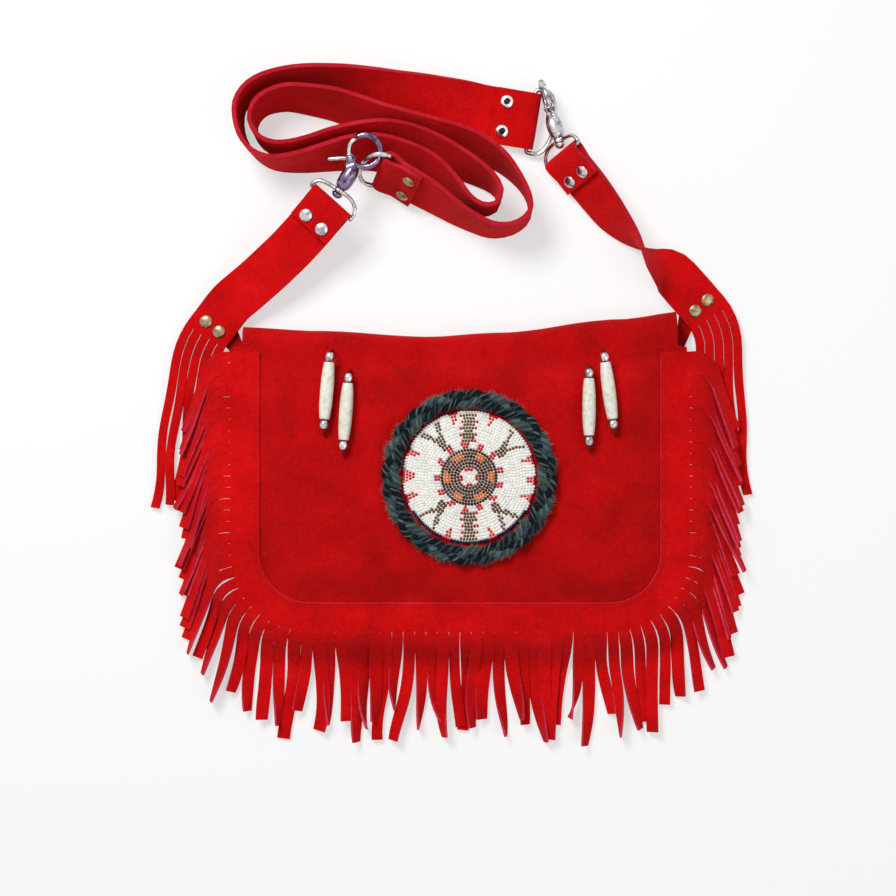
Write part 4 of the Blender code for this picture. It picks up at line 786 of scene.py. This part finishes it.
# %% Gusset
GUSSET_INSET = 0.0012
GUSSET_END, GUSSET_STRAIGHT = 0.006, 0.03
CORNER_READS = 6
GUSSET_STEP = 0.004
half = BODY_HALF_WIDTH - GUSSET_INSET - SUEDE / 2
bottom = BODY_BOTTOM + GUSSET_INSET + SUEDE / 2
radius = BODY_CORNER - GUSSET_INSET
left_x, right_x = BAG_CENTRE_X - half, BAG_CENTRE_X + half
gusset_spots = [(left_x, HINGE_Y - GUSSET_END), (left_x, bottom + radius + GUSSET_STRAIGHT)]
for corner_x, start in ((left_x + radius, 1.0), (right_x - radius, 1.5)):
    for i in range(CORNER_READS + 1):
        angle = math.pi * (start + 0.5 * i / CORNER_READS)
        gusset_spots.append(
            (corner_x + radius * math.cos(angle), bottom + radius + radius * math.sin(angle))
        )
    if start == 1.0:
        gusset_spots.append((BAG_CENTRE_X, bottom))
gusset_spots += [(right_x, bottom + radius + GUSSET_STRAIGHT), (right_x, HINGE_Y - GUSSET_END)]
gusset_keys = smooth_route(
    [(x, y, SUEDE + GAP + GUSSET_WIDTH / 2, 90.0) for x, y in gusset_spots], GUSSET_STEP
)
gusset_centres = [Vector(key[:3]) for key in gusset_keys]
gusset_frames = frames_along(gusset_centres, [key[3] for key in gusset_keys])
gusset = bmesh.new()
ribbon(gusset, [(c, f[1]) for c, f in zip(gusset_centres, gusset_frames)], GUSSET_WIDTH, 4)
gusset_skin, gusset_area = settle("gusset_skin", gusset, SUEDE, 0.0001, (shaded_flap_suede, strap_edge))
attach(gusset_skin, "bag")
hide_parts("gusset")

# %% [markdown]
# The fringe is one long strip of hide, sewn round the flap's edge and slit into narrow strips.
# The slits end on a line just outside that edge. The line is walked by its length, so that the
# strips keep one pitch round the corners too.

# %% Fringe outline
FRINGE_THICK = 0.0014
FRINGE_BAND, FRINGE_OVERHANG, FRINGE_TOP = 0.016, 0.0015, 0.0305
STRIP_PITCH, STRIP_LENGTH, STRIP_SPREAD = 0.0068, 0.0610, 0.0050
TURN_LENGTH, DROP_LENGTH = 0.024, 0.026
SIDE_SPLAY = 20.0
FRINGE_ROWS = 14
LAYER = 0.0014
SHINGLE_LEAN = 47.0
CLUMP_LEAN = 9.0
ROOT_SLIT = 0.0002
STRIP_WIDTHS = (0.0064, 0.0081)
LENGTH_CHANCE = (-0.007, 0.005)
SWAY_RANGE = (4.0, 14.0)
CLUMP_CHANCE = 6.0
TWIST_MOST = 110.0
OVER_TAB_Y = -0.060
BAND_RISE = 1.08
BAND_COLUMNS = 5


def fringe_outline():
    """Length of the slit line, and a reader of its places, outward normals and share of side."""
    half = FLAP_HALF_WIDTH + FRINGE_OVERHANG
    low_y = FLAP_BOTTOM - FRINGE_OVERHANG
    radius = FLAP_CORNER + FRINGE_OVERHANG
    side = FRINGE_TOP - (low_y + radius)
    arc = radius * math.pi / 2
    floor = 2 * (half - radius)

    def at(s):
        if s < side:
            return Vector((-half, FRINGE_TOP - s)), Vector((-1.0, 0.0)), 1.0
        s -= side
        if s < arc:
            angle = math.pi + s / radius
            normal = Vector((math.cos(angle), math.sin(angle)))
            return Vector((-half + radius, low_y + radius)) + normal * radius, normal, 1.0 - s / arc
        s -= arc
        if s < floor:
            return Vector((-half + radius + s, low_y)), Vector((0.0, -1.0)), 0.0
        s -= floor
        if s < arc:
            angle = math.pi * 1.5 + s / radius
            normal = Vector((math.cos(angle), math.sin(angle)))
            return Vector((half - radius, low_y + radius)) + normal * radius, normal, s / arc
        s -= arc
        return Vector((half, low_y + radius + s)), Vector((1.0, 0.0)), 1.0

    return 2 * side + 2 * arc + floor, at

# %% [markdown]
# Suede strips twist as they fall: at the sides they turn on edge and hang down, and at the bottom
# they spread on the table. Hair particles would give even strands, so each strip is its own row
# of faces, with its own length, lean, sway and twist. The strips lie in three layers by turns, so
# that they cross without cutting each other.

# %% Fringe strips


def strip_rows(root, normal, sideness, number, width, height):
    """Centres and width directions of one fringe strip, root to tip."""
    sign = -1.0 if normal.x < 0 else 1.0
    end_angle = -math.pi / 2 + sign * math.radians(SIDE_SPLAY) * sideness
    start_angle = math.atan2(normal.y, normal.x)
    if start_angle > 0:
        start_angle -= 2 * math.pi if sign < 0 else 0.0
    length = STRIP_LENGTH + STRIP_SPREAD * math.sin(number * 2.4) * (1.0 - 0.4 * sideness)
    length += dice.uniform(*LENGTH_CHANCE) * (1.0 - 0.5 * sideness)
    over_tab = 1.0 if (sideness == 1.0 and root.y > OVER_TAB_Y) else 0.0
    floor = GAP + over_tab * (TAB_THICK + SUEDE + GAP * 2) + LAYER * (number * 2 % 3)
    loose = 1.0 - 0.6 * sideness
    sway = math.radians(dice.uniform(*SWAY_RANGE)) * loose
    clump = CLUMP_LEAN * math.sin(number * 0.83) + dice.uniform(-CLUMP_CHANCE, CLUMP_CHANCE)
    clump = math.radians(clump) * loose
    phase = dice.uniform(0.0, 6.28)
    twist = math.radians(dice.uniform(-TWIST_MOST, TWIST_MOST)) * (1.0 - 0.7 * sideness)
    shingle = math.radians(SHINGLE_LEAN) * sign * sideness
    spot = root.copy()
    rows = []
    for i in range(1, FRINGE_ROWS + 1):
        s0, s1 = length * (i - 1) / FRINGE_ROWS, length * i / FRINGE_ROWS
        gone = s1 / length
        turned = min((s0 + s1) / 2 / TURN_LENGTH, 1.0)
        angle = start_angle + (end_angle - start_angle) * turned * turned * (3 - 2 * turned)
        angle += (sway * math.sin(phase + gone * 4.5) + clump) * gone
        spot = spot + Vector((math.cos(angle), math.sin(angle))) * (s1 - s0)
        roll = shingle * turned * turned * (3 - 2 * turned) + twist * gone * gone
        heading = Vector((math.cos(angle), math.sin(angle), 0.0))
        left = Vector((-heading.y, heading.x, 0.0))
        across = left * math.cos(roll) - Vector((0, 0, math.sin(roll)))
        rest = (width * abs(math.sin(roll)) + FRINGE_THICK * abs(math.cos(roll))) / 2 + floor
        fall = min(s1 / DROP_LENGTH, 1.0)
        fall = fall * fall * (3 - 2 * fall)
        rows.append((Vector((spot.x, spot.y, height + (rest - height) * fall)), across))
    return rows

# %% [markdown]
# The band that is sewn on the flap and the strips that hang from it are one sheet. Each strip
# starts at the band's outer edge, a fine slit away from the next, and falls from there.

# %% Fringe piece
fringe_length, along_edge = fringe_outline()
strip_count = round(fringe_length / STRIP_PITCH)
pitch = fringe_length / strip_count
band_height = FLAP_TOP + GAP + FRINGE_THICK / 2
fringe = bmesh.new()


def band_lift(reach):
    """How far the band is lifted by the flap's slope, at a reach inwards from the slit line."""
    return crown_height(max(reach - FRINGE_OVERHANG, 0.0) * BAND_RISE, CROWN + FLAP_LIFT)


def band_line(s):
    """Points across the band, from the slit line inwards."""
    place, normal, _ = along_edge(s)
    line = []
    for c in range(BAND_COLUMNS + 1):
        reach = (FRINGE_BAND + FRINGE_OVERHANG) * c / BAND_COLUMNS
        inner = place - normal * reach
        line.append(fringe.verts.new((inner.x + BAG_CENTRE_X, inner.y, band_height + band_lift(reach))))
    return line


def join_lines(one, two):
    """Faces between two lines of the band."""
    for a, b, c, d in zip(one, two, two[1:], one[1:]):
        fringe.faces.new((a, b, c, d))


last_line = None
for k in range(strip_count):
    one = band_line(k * pitch + ROOT_SLIT / 2)
    two = band_line((k + 1) * pitch - ROOT_SLIT / 2)
    strip_width = dice.uniform(*STRIP_WIDTHS)
    if last_line:
        join_lines(last_line, one)
    join_lines(one, two)
    last_line = two
    root, normal, sideness = along_edge((k + 0.5) * pitch)
    root = root + Vector((BAG_CENTRE_X, 0.0))
    ends = [one[0], two[0]]
    for centre, across in strip_rows(root, normal, sideness, k, strip_width, band_height):
        fresh = [fringe.verts.new(centre + across * strip_width * side / 2) for side in (-1, 1)]
        fringe.faces.new((ends[0], fresh[0], fresh[1], ends[1]))
        ends = fresh
fringe_strips, fringe_area = settle("fringe_strips", fringe, FRINGE_THICK, 0.00015, (red_suede, cut_edge))
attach(fringe_strips, "flap")
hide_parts("fringe")

# %% [markdown]
# Small things that repeat, such as stitches and seed beads, are modelled once and stamped. Linked
# copies would be lighter, but here a piece is one mesh. It holds all copies, each turned to its
# own place, and a colour kept on the mesh paints them.

# %% Stamping helper


def template(name):
    """Takes the active primitive's mesh as a template and removes the object."""
    source = bpy.context.object
    mesh = source.data.copy()
    bpy.data.objects.remove(source)
    points = np.array([v.co for v in mesh.vertices])
    faces = [tuple(p.vertices) for p in mesh.polygons]
    bpy.data.meshes.remove(mesh)
    print(name, "template faces", len(faces))
    return points, faces


def stamp(name, shape, places, colours, attribute, finish, extra=()):
    """One mesh of many copies of a template, each with its own place and colour."""
    points, faces = shape
    corners, polygons, tones = [], [], []
    for matrix, colour in zip(places, colours):
        base = len(corners)
        for x, y, z in points:
            corners.append(matrix @ Vector((x, y, z)))
        polygons += [tuple(base + i for i in face) for face in faces]
        tones += [colour] * len(points)
    for extra_points, extra_faces, colour in extra:
        base = len(corners)
        corners += extra_points
        polygons += [tuple(base + i for i in face) for face in extra_faces]
        tones += [colour] * len(extra_points)
    mesh = bpy.data.meshes.new(name)
    mesh.from_pydata([tuple(c) for c in corners], [], polygons)
    layer = mesh.color_attributes.new(attribute, "FLOAT_COLOR", "POINT")
    layer.data.foreach_set("color", [v for tone in tones for v in (*tone, 1.0)])
    mesh.materials.append(finish)
    mesh.shade_smooth()
    piece = bpy.data.objects.new(name, mesh)
    bpy.context.scene.collection.objects.link(piece)
    print(name, "copies", len(places), "faces", len(polygons))
    return piece

# %% [markdown]
# A seam of thread holds the band along its inner edge. A bump in the material could hint at it,
# but raised stitches catch the light, so each is a small long bead pressed on the suede.

# %% Stitches along the fringe's band
STITCH_PITCH = 0.0031
STITCH_INSET = 0.0012
STITCH_HALF = (0.0011, 0.0003, 0.00028)
bpy.ops.mesh.primitive_uv_sphere_add(segments=6, ring_count=4, radius=1.0)
stitch_shape = template("stitch")
stitch_places = []
for k in range(int(fringe_length / STITCH_PITCH)):
    place, normal, _ = along_edge((k + 0.5) * STITCH_PITCH)
    reach = FRINGE_BAND - STITCH_INSET
    spot = place - normal * reach
    z = band_height + FRINGE_THICK / 2 + band_lift(reach)
    across = Vector((normal.x, normal.y, 0.0))
    along = Vector((-normal.y, normal.x, 0.0))
    turned = Matrix((along * STITCH_HALF[0], across * STITCH_HALF[1], Vector((0, 0, STITCH_HALF[2]))))
    turned = turned.transposed().to_4x4()
    stitch_places.append(Matrix.Translation((spot.x + BAG_CENTRE_X, spot.y, z)) @ turned)
stitch_tones = [(0.30 + 0.05 * dice.random(), 0.004, 0.008) for _ in stitch_places]
band_stitches = stamp("band_stitches", stitch_shape, stitch_places, stitch_tones, "thread_colour", thread)
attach(band_stitches, "flap")

# %% [markdown]
# The rosette is stitched in rings from the middle outwards, one seed bead beside the next. Its
# figures could be painted, but real ones are made of whole beads, so a function tells every bead
# its colour by ring and angle: a cross, a brown eye with amber patches, red blocks, dark bars,
# small forks and wedges at the rim.

# %% Rosette figures
ROSETTE_X, ROSETTE_Y, ROSETTE_RADIUS = 0.0114, -0.0450, 0.0396
BEAD_PITCH = 1.9
WHITE, NAVY = (0.93, 0.92, 0.89), (0.010, 0.014, 0.06)
RED, PINK = (0.62, 0.008, 0.016), (0.80, 0.12, 0.16)
BROWN, DARK = (0.115, 0.030, 0.006), (0.040, 0.010, 0.005)
AMBER, OLIVE = (0.78, 0.17, 0.006), (0.13, 0.060, 0.010)
CROSS_EDGE, EYE_EDGE, BLOCK_EDGE = 6.6, 17.2, 21.0
RIM_START, RIM_TIP, FIGURE_EDGE, NAVY_START = 30.5, 31.0, 37.2, 37.6
RIM_FIGURES = (105, 68, 156, 178, 198, 16, -3, -19, 250, 292)
WIDE_FIGURE = 178
BARS, FORKS, CROSS_ARMS = (90, 270), (38, 129, 227, 312), (0, 90, 180, 270)


def away(angle, centre):
    """Angle between two directions, 0 to 180 degrees."""
    return abs((angle - centre + 180.0) % 360.0 - 180.0)


def bead_tone(r, angle):
    """Colour of the bead at a distance in millimetres and an angle in degrees."""
    if r < CROSS_EDGE:
        return RED if r > 3.0 and min(away(angle, c) for c in CROSS_ARMS) < 24.0 else WHITE
    if r < EYE_EDGE:
        if 11.0 < r < 14.5 and away(angle * 6.0, 0.0) < 80.0:
            return AMBER
        return DARK if int((r - CROSS_EDGE) / BEAD_PITCH) % 2 else BROWN
    if r < BLOCK_EDGE:
        return RED if away(angle * 13.0, 180.0) < 70.0 else WHITE
    if r > RIM_START:
        for centre in RIM_FIGURES:
            size = 0.60 if centre == WIDE_FIGURE else 0.34
            if math.radians(away(angle, centre)) * r < (r - RIM_TIP) * size:
                return RED if away(angle, centre) < 3.5 else PINK
    if r < FIGURE_EDGE:
        for centre in BARS:
            off = math.radians(away(angle, centre)) * r
            if off < (5.2 if int(r / BEAD_PITCH) % 2 else 3.0):
                return OLIVE if off < 3.4 else RED
        for centre in FORKS:
            off = math.radians(away(angle, centre)) * r
            if r < 27.0 and off < 2.4:
                return BROWN
            if r >= 27.0 and abs(off - (r - 25.0) * 0.45) < 1.3:
                return OLIVE
    if r > NAVY_START and away(angle, 270) < 60.0:
        return NAVY
    return WHITE

# %% [markdown]
# Each bead is a small flattened ball that lies on its ring. No two are alike, so size, place and
# shade vary a little by a seeded chance.

# %% Rosette beads
BEAD_SPACING = 1.78
BEAD_LIFT, BEAD_DISH, ROSETTE_EDGE = 0.0015, 0.0004, 39.6
BEAD_STRAY, RING_STRAY = 0.00007, 0.00008
BEAD_HALF = (0.00091, 0.00101, 0.00088)

bpy.ops.mesh.primitive_uv_sphere_add(segments=8, ring_count=6, radius=1.0)
bead_shape = template("seed bead")
bead_places, bead_tones = [], []
r = BEAD_PITCH / 2
while r < ROSETTE_RADIUS * 1000 - 0.6:
    count = max(3, round(2 * math.pi * r / BEAD_SPACING))
    shift = dice.random()
    for k in range(count):
        angle = 360.0 * (k + shift) / count
        turned = math.radians(angle)
        out = Vector((math.cos(turned), math.sin(turned), 0.0))
        along = Vector((-out.y, out.x, 0.0))
        height = (
            PLATEAU + GAP + BEAD_LIFT - BEAD_DISH * (r / ROSETTE_EDGE) ** 2
            + dice.uniform(-BEAD_STRAY, BEAD_STRAY)
        )
        size = dice.uniform(0.94, 1.04)
        reach = r / 1000 + dice.uniform(-RING_STRAY, RING_STRAY)
        turn = Matrix((
            along * BEAD_HALF[0] * size, out * BEAD_HALF[1] * size, Vector((0, 0, BEAD_HALF[2] * size))
        )).transposed().to_4x4()
        middle = Vector((ROSETTE_X, ROSETTE_Y, height)) + out * reach
        bead_places.append(Matrix.Translation(middle) @ turn)
        tone = bead_tone(r, angle)
        shade = dice.uniform(0.88, 1.08)
        bead_tones.append(tuple(min(c * shade, 1.0) for c in tone))
    r += BEAD_PITCH
print("beads", len(bead_places))

# %% [markdown]
# A thin disc under the beads closes the gaps between them. It is four rings of points joined into
# a closed solid, and it goes into the same mesh as the beads.

# %% Rosette base
BASE_SIDES = 64
BASE_PROFILE = ((0.0, 0.0384), (0.0004, 0.0390), (0.0011, 0.0388), (0.0014, 0.0378))
BASE_TONE = (0.78, 0.76, 0.70)

base_points, base_faces = [], []
for height, reach in BASE_PROFILE:
    for k in range(BASE_SIDES):
        turned = 2 * math.pi * k / BASE_SIDES
        base_points.append(Vector((
            ROSETTE_X + reach * math.cos(turned),
            ROSETTE_Y + reach * math.sin(turned),
            PLATEAU + GAP + height,
        )))
for level in range(3):
    for k in range(BASE_SIDES):
        a, b = level * BASE_SIDES + k, level * BASE_SIDES + (k + 1) % BASE_SIDES
        base_faces.append((a, b, b + BASE_SIDES, a + BASE_SIDES))
base_faces += [tuple(range(BASE_SIDES - 1, -1, -1)), tuple(range(3 * BASE_SIDES, 4 * BASE_SIDES))]
rosette_beads = stamp(
    "rosette_beads", bead_shape, bead_places, bead_tones, "bead_colour", bead_glass,
    [(base_points, base_faces, BASE_TONE)],
)
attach(rosette_beads, "flap")
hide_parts("rosette")

# %% [markdown]
# Round the rosette lies a plait of three strands of wool. A twisted rope would be simpler, but a
# plait has crossings like leaves. Each strand's middle line swings from side to side, and over
# and under the others.

# %% Braid strands
BRAID_RADIUS = 0.0467
BRAID_WAVES = 8
BRAID_STEPS = 288
STRAND_SWING, STRAND_HEIGHT, STRAND_LIFT = 0.0032, 0.0039, 0.0010
STRAND_TONES = ((0.045, 0.085, 0.095), (0.010, 0.011, 0.015), (0.095, 0.140, 0.135))
base_z = PLATEAU + GAP


def strand_middle(turn, strand):
    """Distance from the ring's centre and height of a strand's middle line."""
    phase = BRAID_WAVES * turn + strand * 2 * math.pi / 3
    reach = BRAID_RADIUS + STRAND_SWING * math.sin(phase)
    return reach, base_z + STRAND_HEIGHT + STRAND_LIFT * math.sin(2 * phase)


print("braid radius", BRAID_RADIUS)

# %% [markdown]
# Each strand is itself a rope of thin yarns, wound round the strand's middle line. Their tones
# differ a little, as dyed wool does, and one in three or so is borrowed from the next strand.

# %% Yarns
YARNS = 8
YARN_SIDES = 6
YARN_WINDS = 30
YARN_OUT, YARN_UP, YARN_RADIUS = 0.00175, 0.00165, 0.00088
YARN_THROB = 37

braid_points, braid_faces, braid_tones = [], [], []
for strand in range(3):
    for yarn in range(YARNS):
        shade = dice.uniform(0.55, 1.35)
        mixed_in = STRAND_TONES[(strand + 1) % 3 if dice.random() < 0.3 else strand]
        tone = tuple(c * shade for c in mixed_in)
        first = len(braid_points)
        for i in range(BRAID_STEPS):
            turn = 2 * math.pi * i / BRAID_STEPS
            reach, z = strand_middle(turn, strand)
            wound = 2 * math.pi * yarn / YARNS + YARN_WINDS * turn
            reach += YARN_OUT * math.cos(wound)
            z += YARN_UP * math.sin(wound)
            thick = YARN_RADIUS * (1.0 + 0.10 * math.sin(YARN_THROB * turn + yarn))
            for side in range(YARN_SIDES):
                around = 2 * math.pi * side / YARN_SIDES
                out = reach + thick * math.cos(around)
                braid_points.append((
                    ROSETTE_X + out * math.cos(turn),
                    ROSETTE_Y + out * math.sin(turn),
                    z + thick * math.sin(around),
                ))
                braid_tones.append(tone)
        for i in range(BRAID_STEPS):
            for side in range(YARN_SIDES):
                a = first + i * YARN_SIDES + side
                b = first + i * YARN_SIDES + (side + 1) % YARN_SIDES
                c = first + (i + 1) % BRAID_STEPS * YARN_SIDES + (side + 1) % YARN_SIDES
                d = first + (i + 1) % BRAID_STEPS * YARN_SIDES + side
                braid_faces.append((a, b, c, d))
print("yarn faces", len(braid_faces))

# %% [markdown]
# Wool is never smooth. Loose hairs stand off the braid, and each is two narrow faces that bend
# away from it. They are few enough to be real faces.

# %% Loose hairs
HAIRS = 6000
HAIR_ROOT = 0.0024
HAIR_LENGTHS = (0.0009, 0.0030)
HAIR_SAG, HAIR_BEND, HAIR_HALF_WIDTH = 0.0006, 0.025, 0.00011

for _ in range(HAIRS):
    turn = dice.uniform(0, 2 * math.pi)
    strand = dice.randrange(3)
    reach, z = strand_middle(turn, strand)
    around = dice.uniform(-0.3, math.pi + 0.3)
    lean = dice.uniform(-1.0, 1.0)
    length = dice.uniform(*HAIR_LENGTHS)
    tone = tuple(c * dice.uniform(0.8, 2.0) for c in STRAND_TONES[strand])
    first = len(braid_points)
    for share in (0.0, 0.5, 1.0):
        out = HAIR_ROOT + length * share
        x = reach + out * math.cos(around)
        height = max(z + out * math.sin(around) - HAIR_SAG * share * share, base_z + TABLE_CLEAR)
        swing = turn + lean * share * share * HAIR_BEND
        wide = HAIR_HALF_WIDTH * (1.0 - share * 0.7) / reach
        for side in (-1, 1):
            braid_points.append((
                ROSETTE_X + x * math.cos(swing + side * wide),
                ROSETTE_Y + x * math.sin(swing + side * wide),
                height,
            ))
            braid_tones.append(tone)
    braid_faces += [(first, first + 1, first + 3, first + 2), (first + 2, first + 3, first + 5, first + 4)]
print("hairs", HAIRS)

# %% [markdown]
# All yarns and hairs become one mesh, with the colours kept on its points.

# %% Braid piece
braid_mesh = bpy.data.meshes.new("braid")
braid_mesh.from_pydata(braid_points, [], braid_faces)
braid_layer = braid_mesh.color_attributes.new("yarn_colour", "FLOAT_COLOR", "POINT")
braid_layer.data.foreach_set("color", [v for tone in braid_tones for v in (*tone, 1.0)])
braid_mesh.materials.append(yarn_wool)
braid_mesh.shade_smooth()
braid = bpy.data.objects.new("braid", braid_mesh)
bpy.context.scene.collection.objects.link(braid)
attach(braid, "flap")
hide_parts("braid_ring")
print("braid faces", len(braid_faces))

# %% [markdown]
# Rivets, rings, hooks, pipes and beads already have their true shapes as solids, and modelling
# them again could only shift them. A copy of each is merged, smoothed by a subdivision and given
# its worn finish, and it stays exactly where its solid is.

# %% Fittings
FITTINGS = {
    "tab_rivet": (nickel, 2), "lug_rivet": (old_brass, 2), "strap_rivet_left": (old_brass, 2),
    "strap_rivet_right": (bright_rim, 2), "d_ring": (nickel, 1), "swivel_loop": (nickel, 1),
    # The left hook's body takes the darker nickel, which is a painted dark reflection.
    "hook_body_left": (reflection_dark_nickel, 1), "hook_body_right": (nickel, 1),
    "gate_pin": (nickel, 1), "gate": (nickel, 1),
    "hair_pipe": (bone, 2), "bead_": (nickel, 2),
}
MERGE_DISTANCE = 0.00001


def fitting_of(node):
    """Finish and smoothing of a node, by the longest name that fits it."""
    found = [key for key in FITTINGS if node.startswith(key)]
    return FITTINGS[max(found, key=len)] if found else None


made = 0
for name, node in sorted(frame["nodes"].items()):
    plan = fitting_of(name)
    if not plan or node.hide_render:
        continue
    finish, levels = plan
    piece = bpy.data.objects.new(f"{name}_finished", node.data.copy())
    bpy.context.scene.collection.objects.link(piece)
    bpy.ops.object.select_all(action="DESELECT")
    piece.select_set(True)
    bpy.context.view_layer.objects.active = piece
    bpy.ops.object.mode_set(mode="EDIT")
    bpy.ops.mesh.select_all(action="SELECT")
    bpy.ops.mesh.remove_doubles(threshold=MERGE_DISTANCE)
    bpy.ops.object.mode_set(mode="OBJECT")
    rounding = piece.modifiers.new("rounding", "SUBSURF")
    rounding.levels = levels
    rounding.render_levels = levels
    bpy.ops.object.modifier_apply(modifier="rounding")
    piece.data.materials.clear()
    piece.data.materials.append(finish)
    piece.data.shade_smooth()
    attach(piece, node["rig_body"])
    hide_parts(name)
    made += 1
print("fittings", made)

# %% [markdown]
# The laces through the pipes are right as solids, and only need their leather.

# %% Laces
for number in (1, 2, 3, 4):
    lace = frame["nodes"][f"lace_{number}"]
    lace.data.materials.clear()
    lace.data.materials.append(lace_leather)
print("laces", number)

# %% [markdown]
# The rivets of the strap's right end look like eyelets, a bright rim round a dark hollow. Real
# holes could be cut, but the faces near the middle get a dark finish instead: painted shade, standing
# in for the shadow inside a hole.

# %% Eyelets
HOLE_SHADE_RADIUS = 0.0021

for number in (1, 2):
    piece = bpy.data.objects[f"strap_rivet_right_{number}_finished"]
    lowest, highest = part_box(f"strap_rivet_right_{number}")
    middle = (lowest + highest) / 2
    piece.data.materials.append(painted_hole_shade)
    for face in piece.data.polygons:
        if math.dist(face.center[:2], middle[:2]) < HOLE_SHADE_RADIUS:
            face.material_index = 1
print("eyelets", number)

# %% [markdown]
# The bag lies on a pale floor that keeps its shadow. A stronger lamp would whiten the floor but
# wash out the suede. So the floor glows a little, and only for rays that look at it, from the
# camera or mirrored in metal.

# %% Floor
FLOOR_GLOW = 0.55
FLOOR_DROP = 0.0002


def background_rays(tree):
    """1 for a ray that shows the background, straight on or through gloss or glass, else 0."""
    paths = tree.nodes.new("ShaderNodeLightPath")
    total = paths.outputs["Is Camera Ray"]
    for ray in ("Is Glossy Ray", "Is Transmission Ray"):
        step = tree.nodes.new("ShaderNodeMath")
        step.operation = "ADD"
        step.use_clamp = True
        tree.links.new(total, step.inputs[0])
        tree.links.new(paths.outputs[ray], step.inputs[1])
        total = step.outputs[0]
    return total


bpy.ops.mesh.primitive_plane_add(size=6.0, location=(0.0, 0.0, -FLOOR_DROP))
floor = bpy.context.object
floor.name = "floor"
floor_finish = bpy.data.materials.new("pale_floor")
floor_finish.use_nodes = True
floor_tree = floor_finish.node_tree
floor_shader = floor_tree.nodes["Principled BSDF"]
floor_shader.inputs["Base Color"].default_value = (0.93, 0.93, 0.93, 1.0)
floor_shader.inputs["Roughness"].default_value = 1.0
floor_shader.inputs["Specular IOR Level"].default_value = 0.0
glow = floor_tree.nodes.new("ShaderNodeEmission")
part = floor_tree.nodes.new("ShaderNodeMath")
part.operation = "MULTIPLY"
part.inputs[1].default_value = FLOOR_GLOW
floor_tree.links.new(background_rays(floor_tree), part.inputs[0])
both = floor_tree.nodes.new("ShaderNodeMixShader")
floor_tree.links.new(part.outputs[0], both.inputs["Fac"])
floor_tree.links.new(floor_shader.outputs["BSDF"], both.inputs[1])
floor_tree.links.new(glow.outputs["Emission"], both.inputs[2])
floor_tree.links.new(both.outputs["Shader"], floor_tree.nodes["Material Output"].inputs["Surface"])
floor.data.materials.append(floor_finish)
print("floor", floor.name)

# %% [markdown]
# Two large soft lamps and a dim even sky light the bag. The sky is full white only for rays that
# look straight at it, so that it adds no light to the suede.

# %% Lamps and sky
SKY_LIGHT = 0.30


def soft_lamp(name, place, size, power):
    """A square lamp that looks at the middle of the table."""
    bpy.ops.object.light_add(type="AREA", location=place)
    lamp = bpy.context.object
    lamp.name = name
    lamp.data.shape = "SQUARE"
    lamp.data.size = size
    lamp.data.energy = power
    lamp.rotation_euler = (-Vector(place)).to_track_quat("-Z", "Y").to_euler()


soft_lamp("key_lamp", (-0.55, 0.75, 1.20), 0.55, 18.0)
soft_lamp("fill_lamp", (0.80, -0.40, 1.10), 0.9, 4.0)
sky = bpy.data.worlds.new("even_sky")
sky.use_nodes = True
sky.node_tree.nodes["Background"].inputs["Color"].default_value = (1.0, 1.0, 1.0, 1.0)
sky_level = sky.node_tree.nodes.new("ShaderNodeMapRange")
sky_level.inputs["To Min"].default_value = SKY_LIGHT
sky_level.inputs["To Max"].default_value = 1.0
sky.node_tree.links.new(background_rays(sky.node_tree), sky_level.inputs["Value"])
sky.node_tree.links.new(sky_level.outputs["Result"], sky.node_tree.nodes["Background"].inputs["Strength"])
bpy.context.scene.world = sky
bpy.context.scene.view_settings.view_transform = "Standard"
print("stage ready")
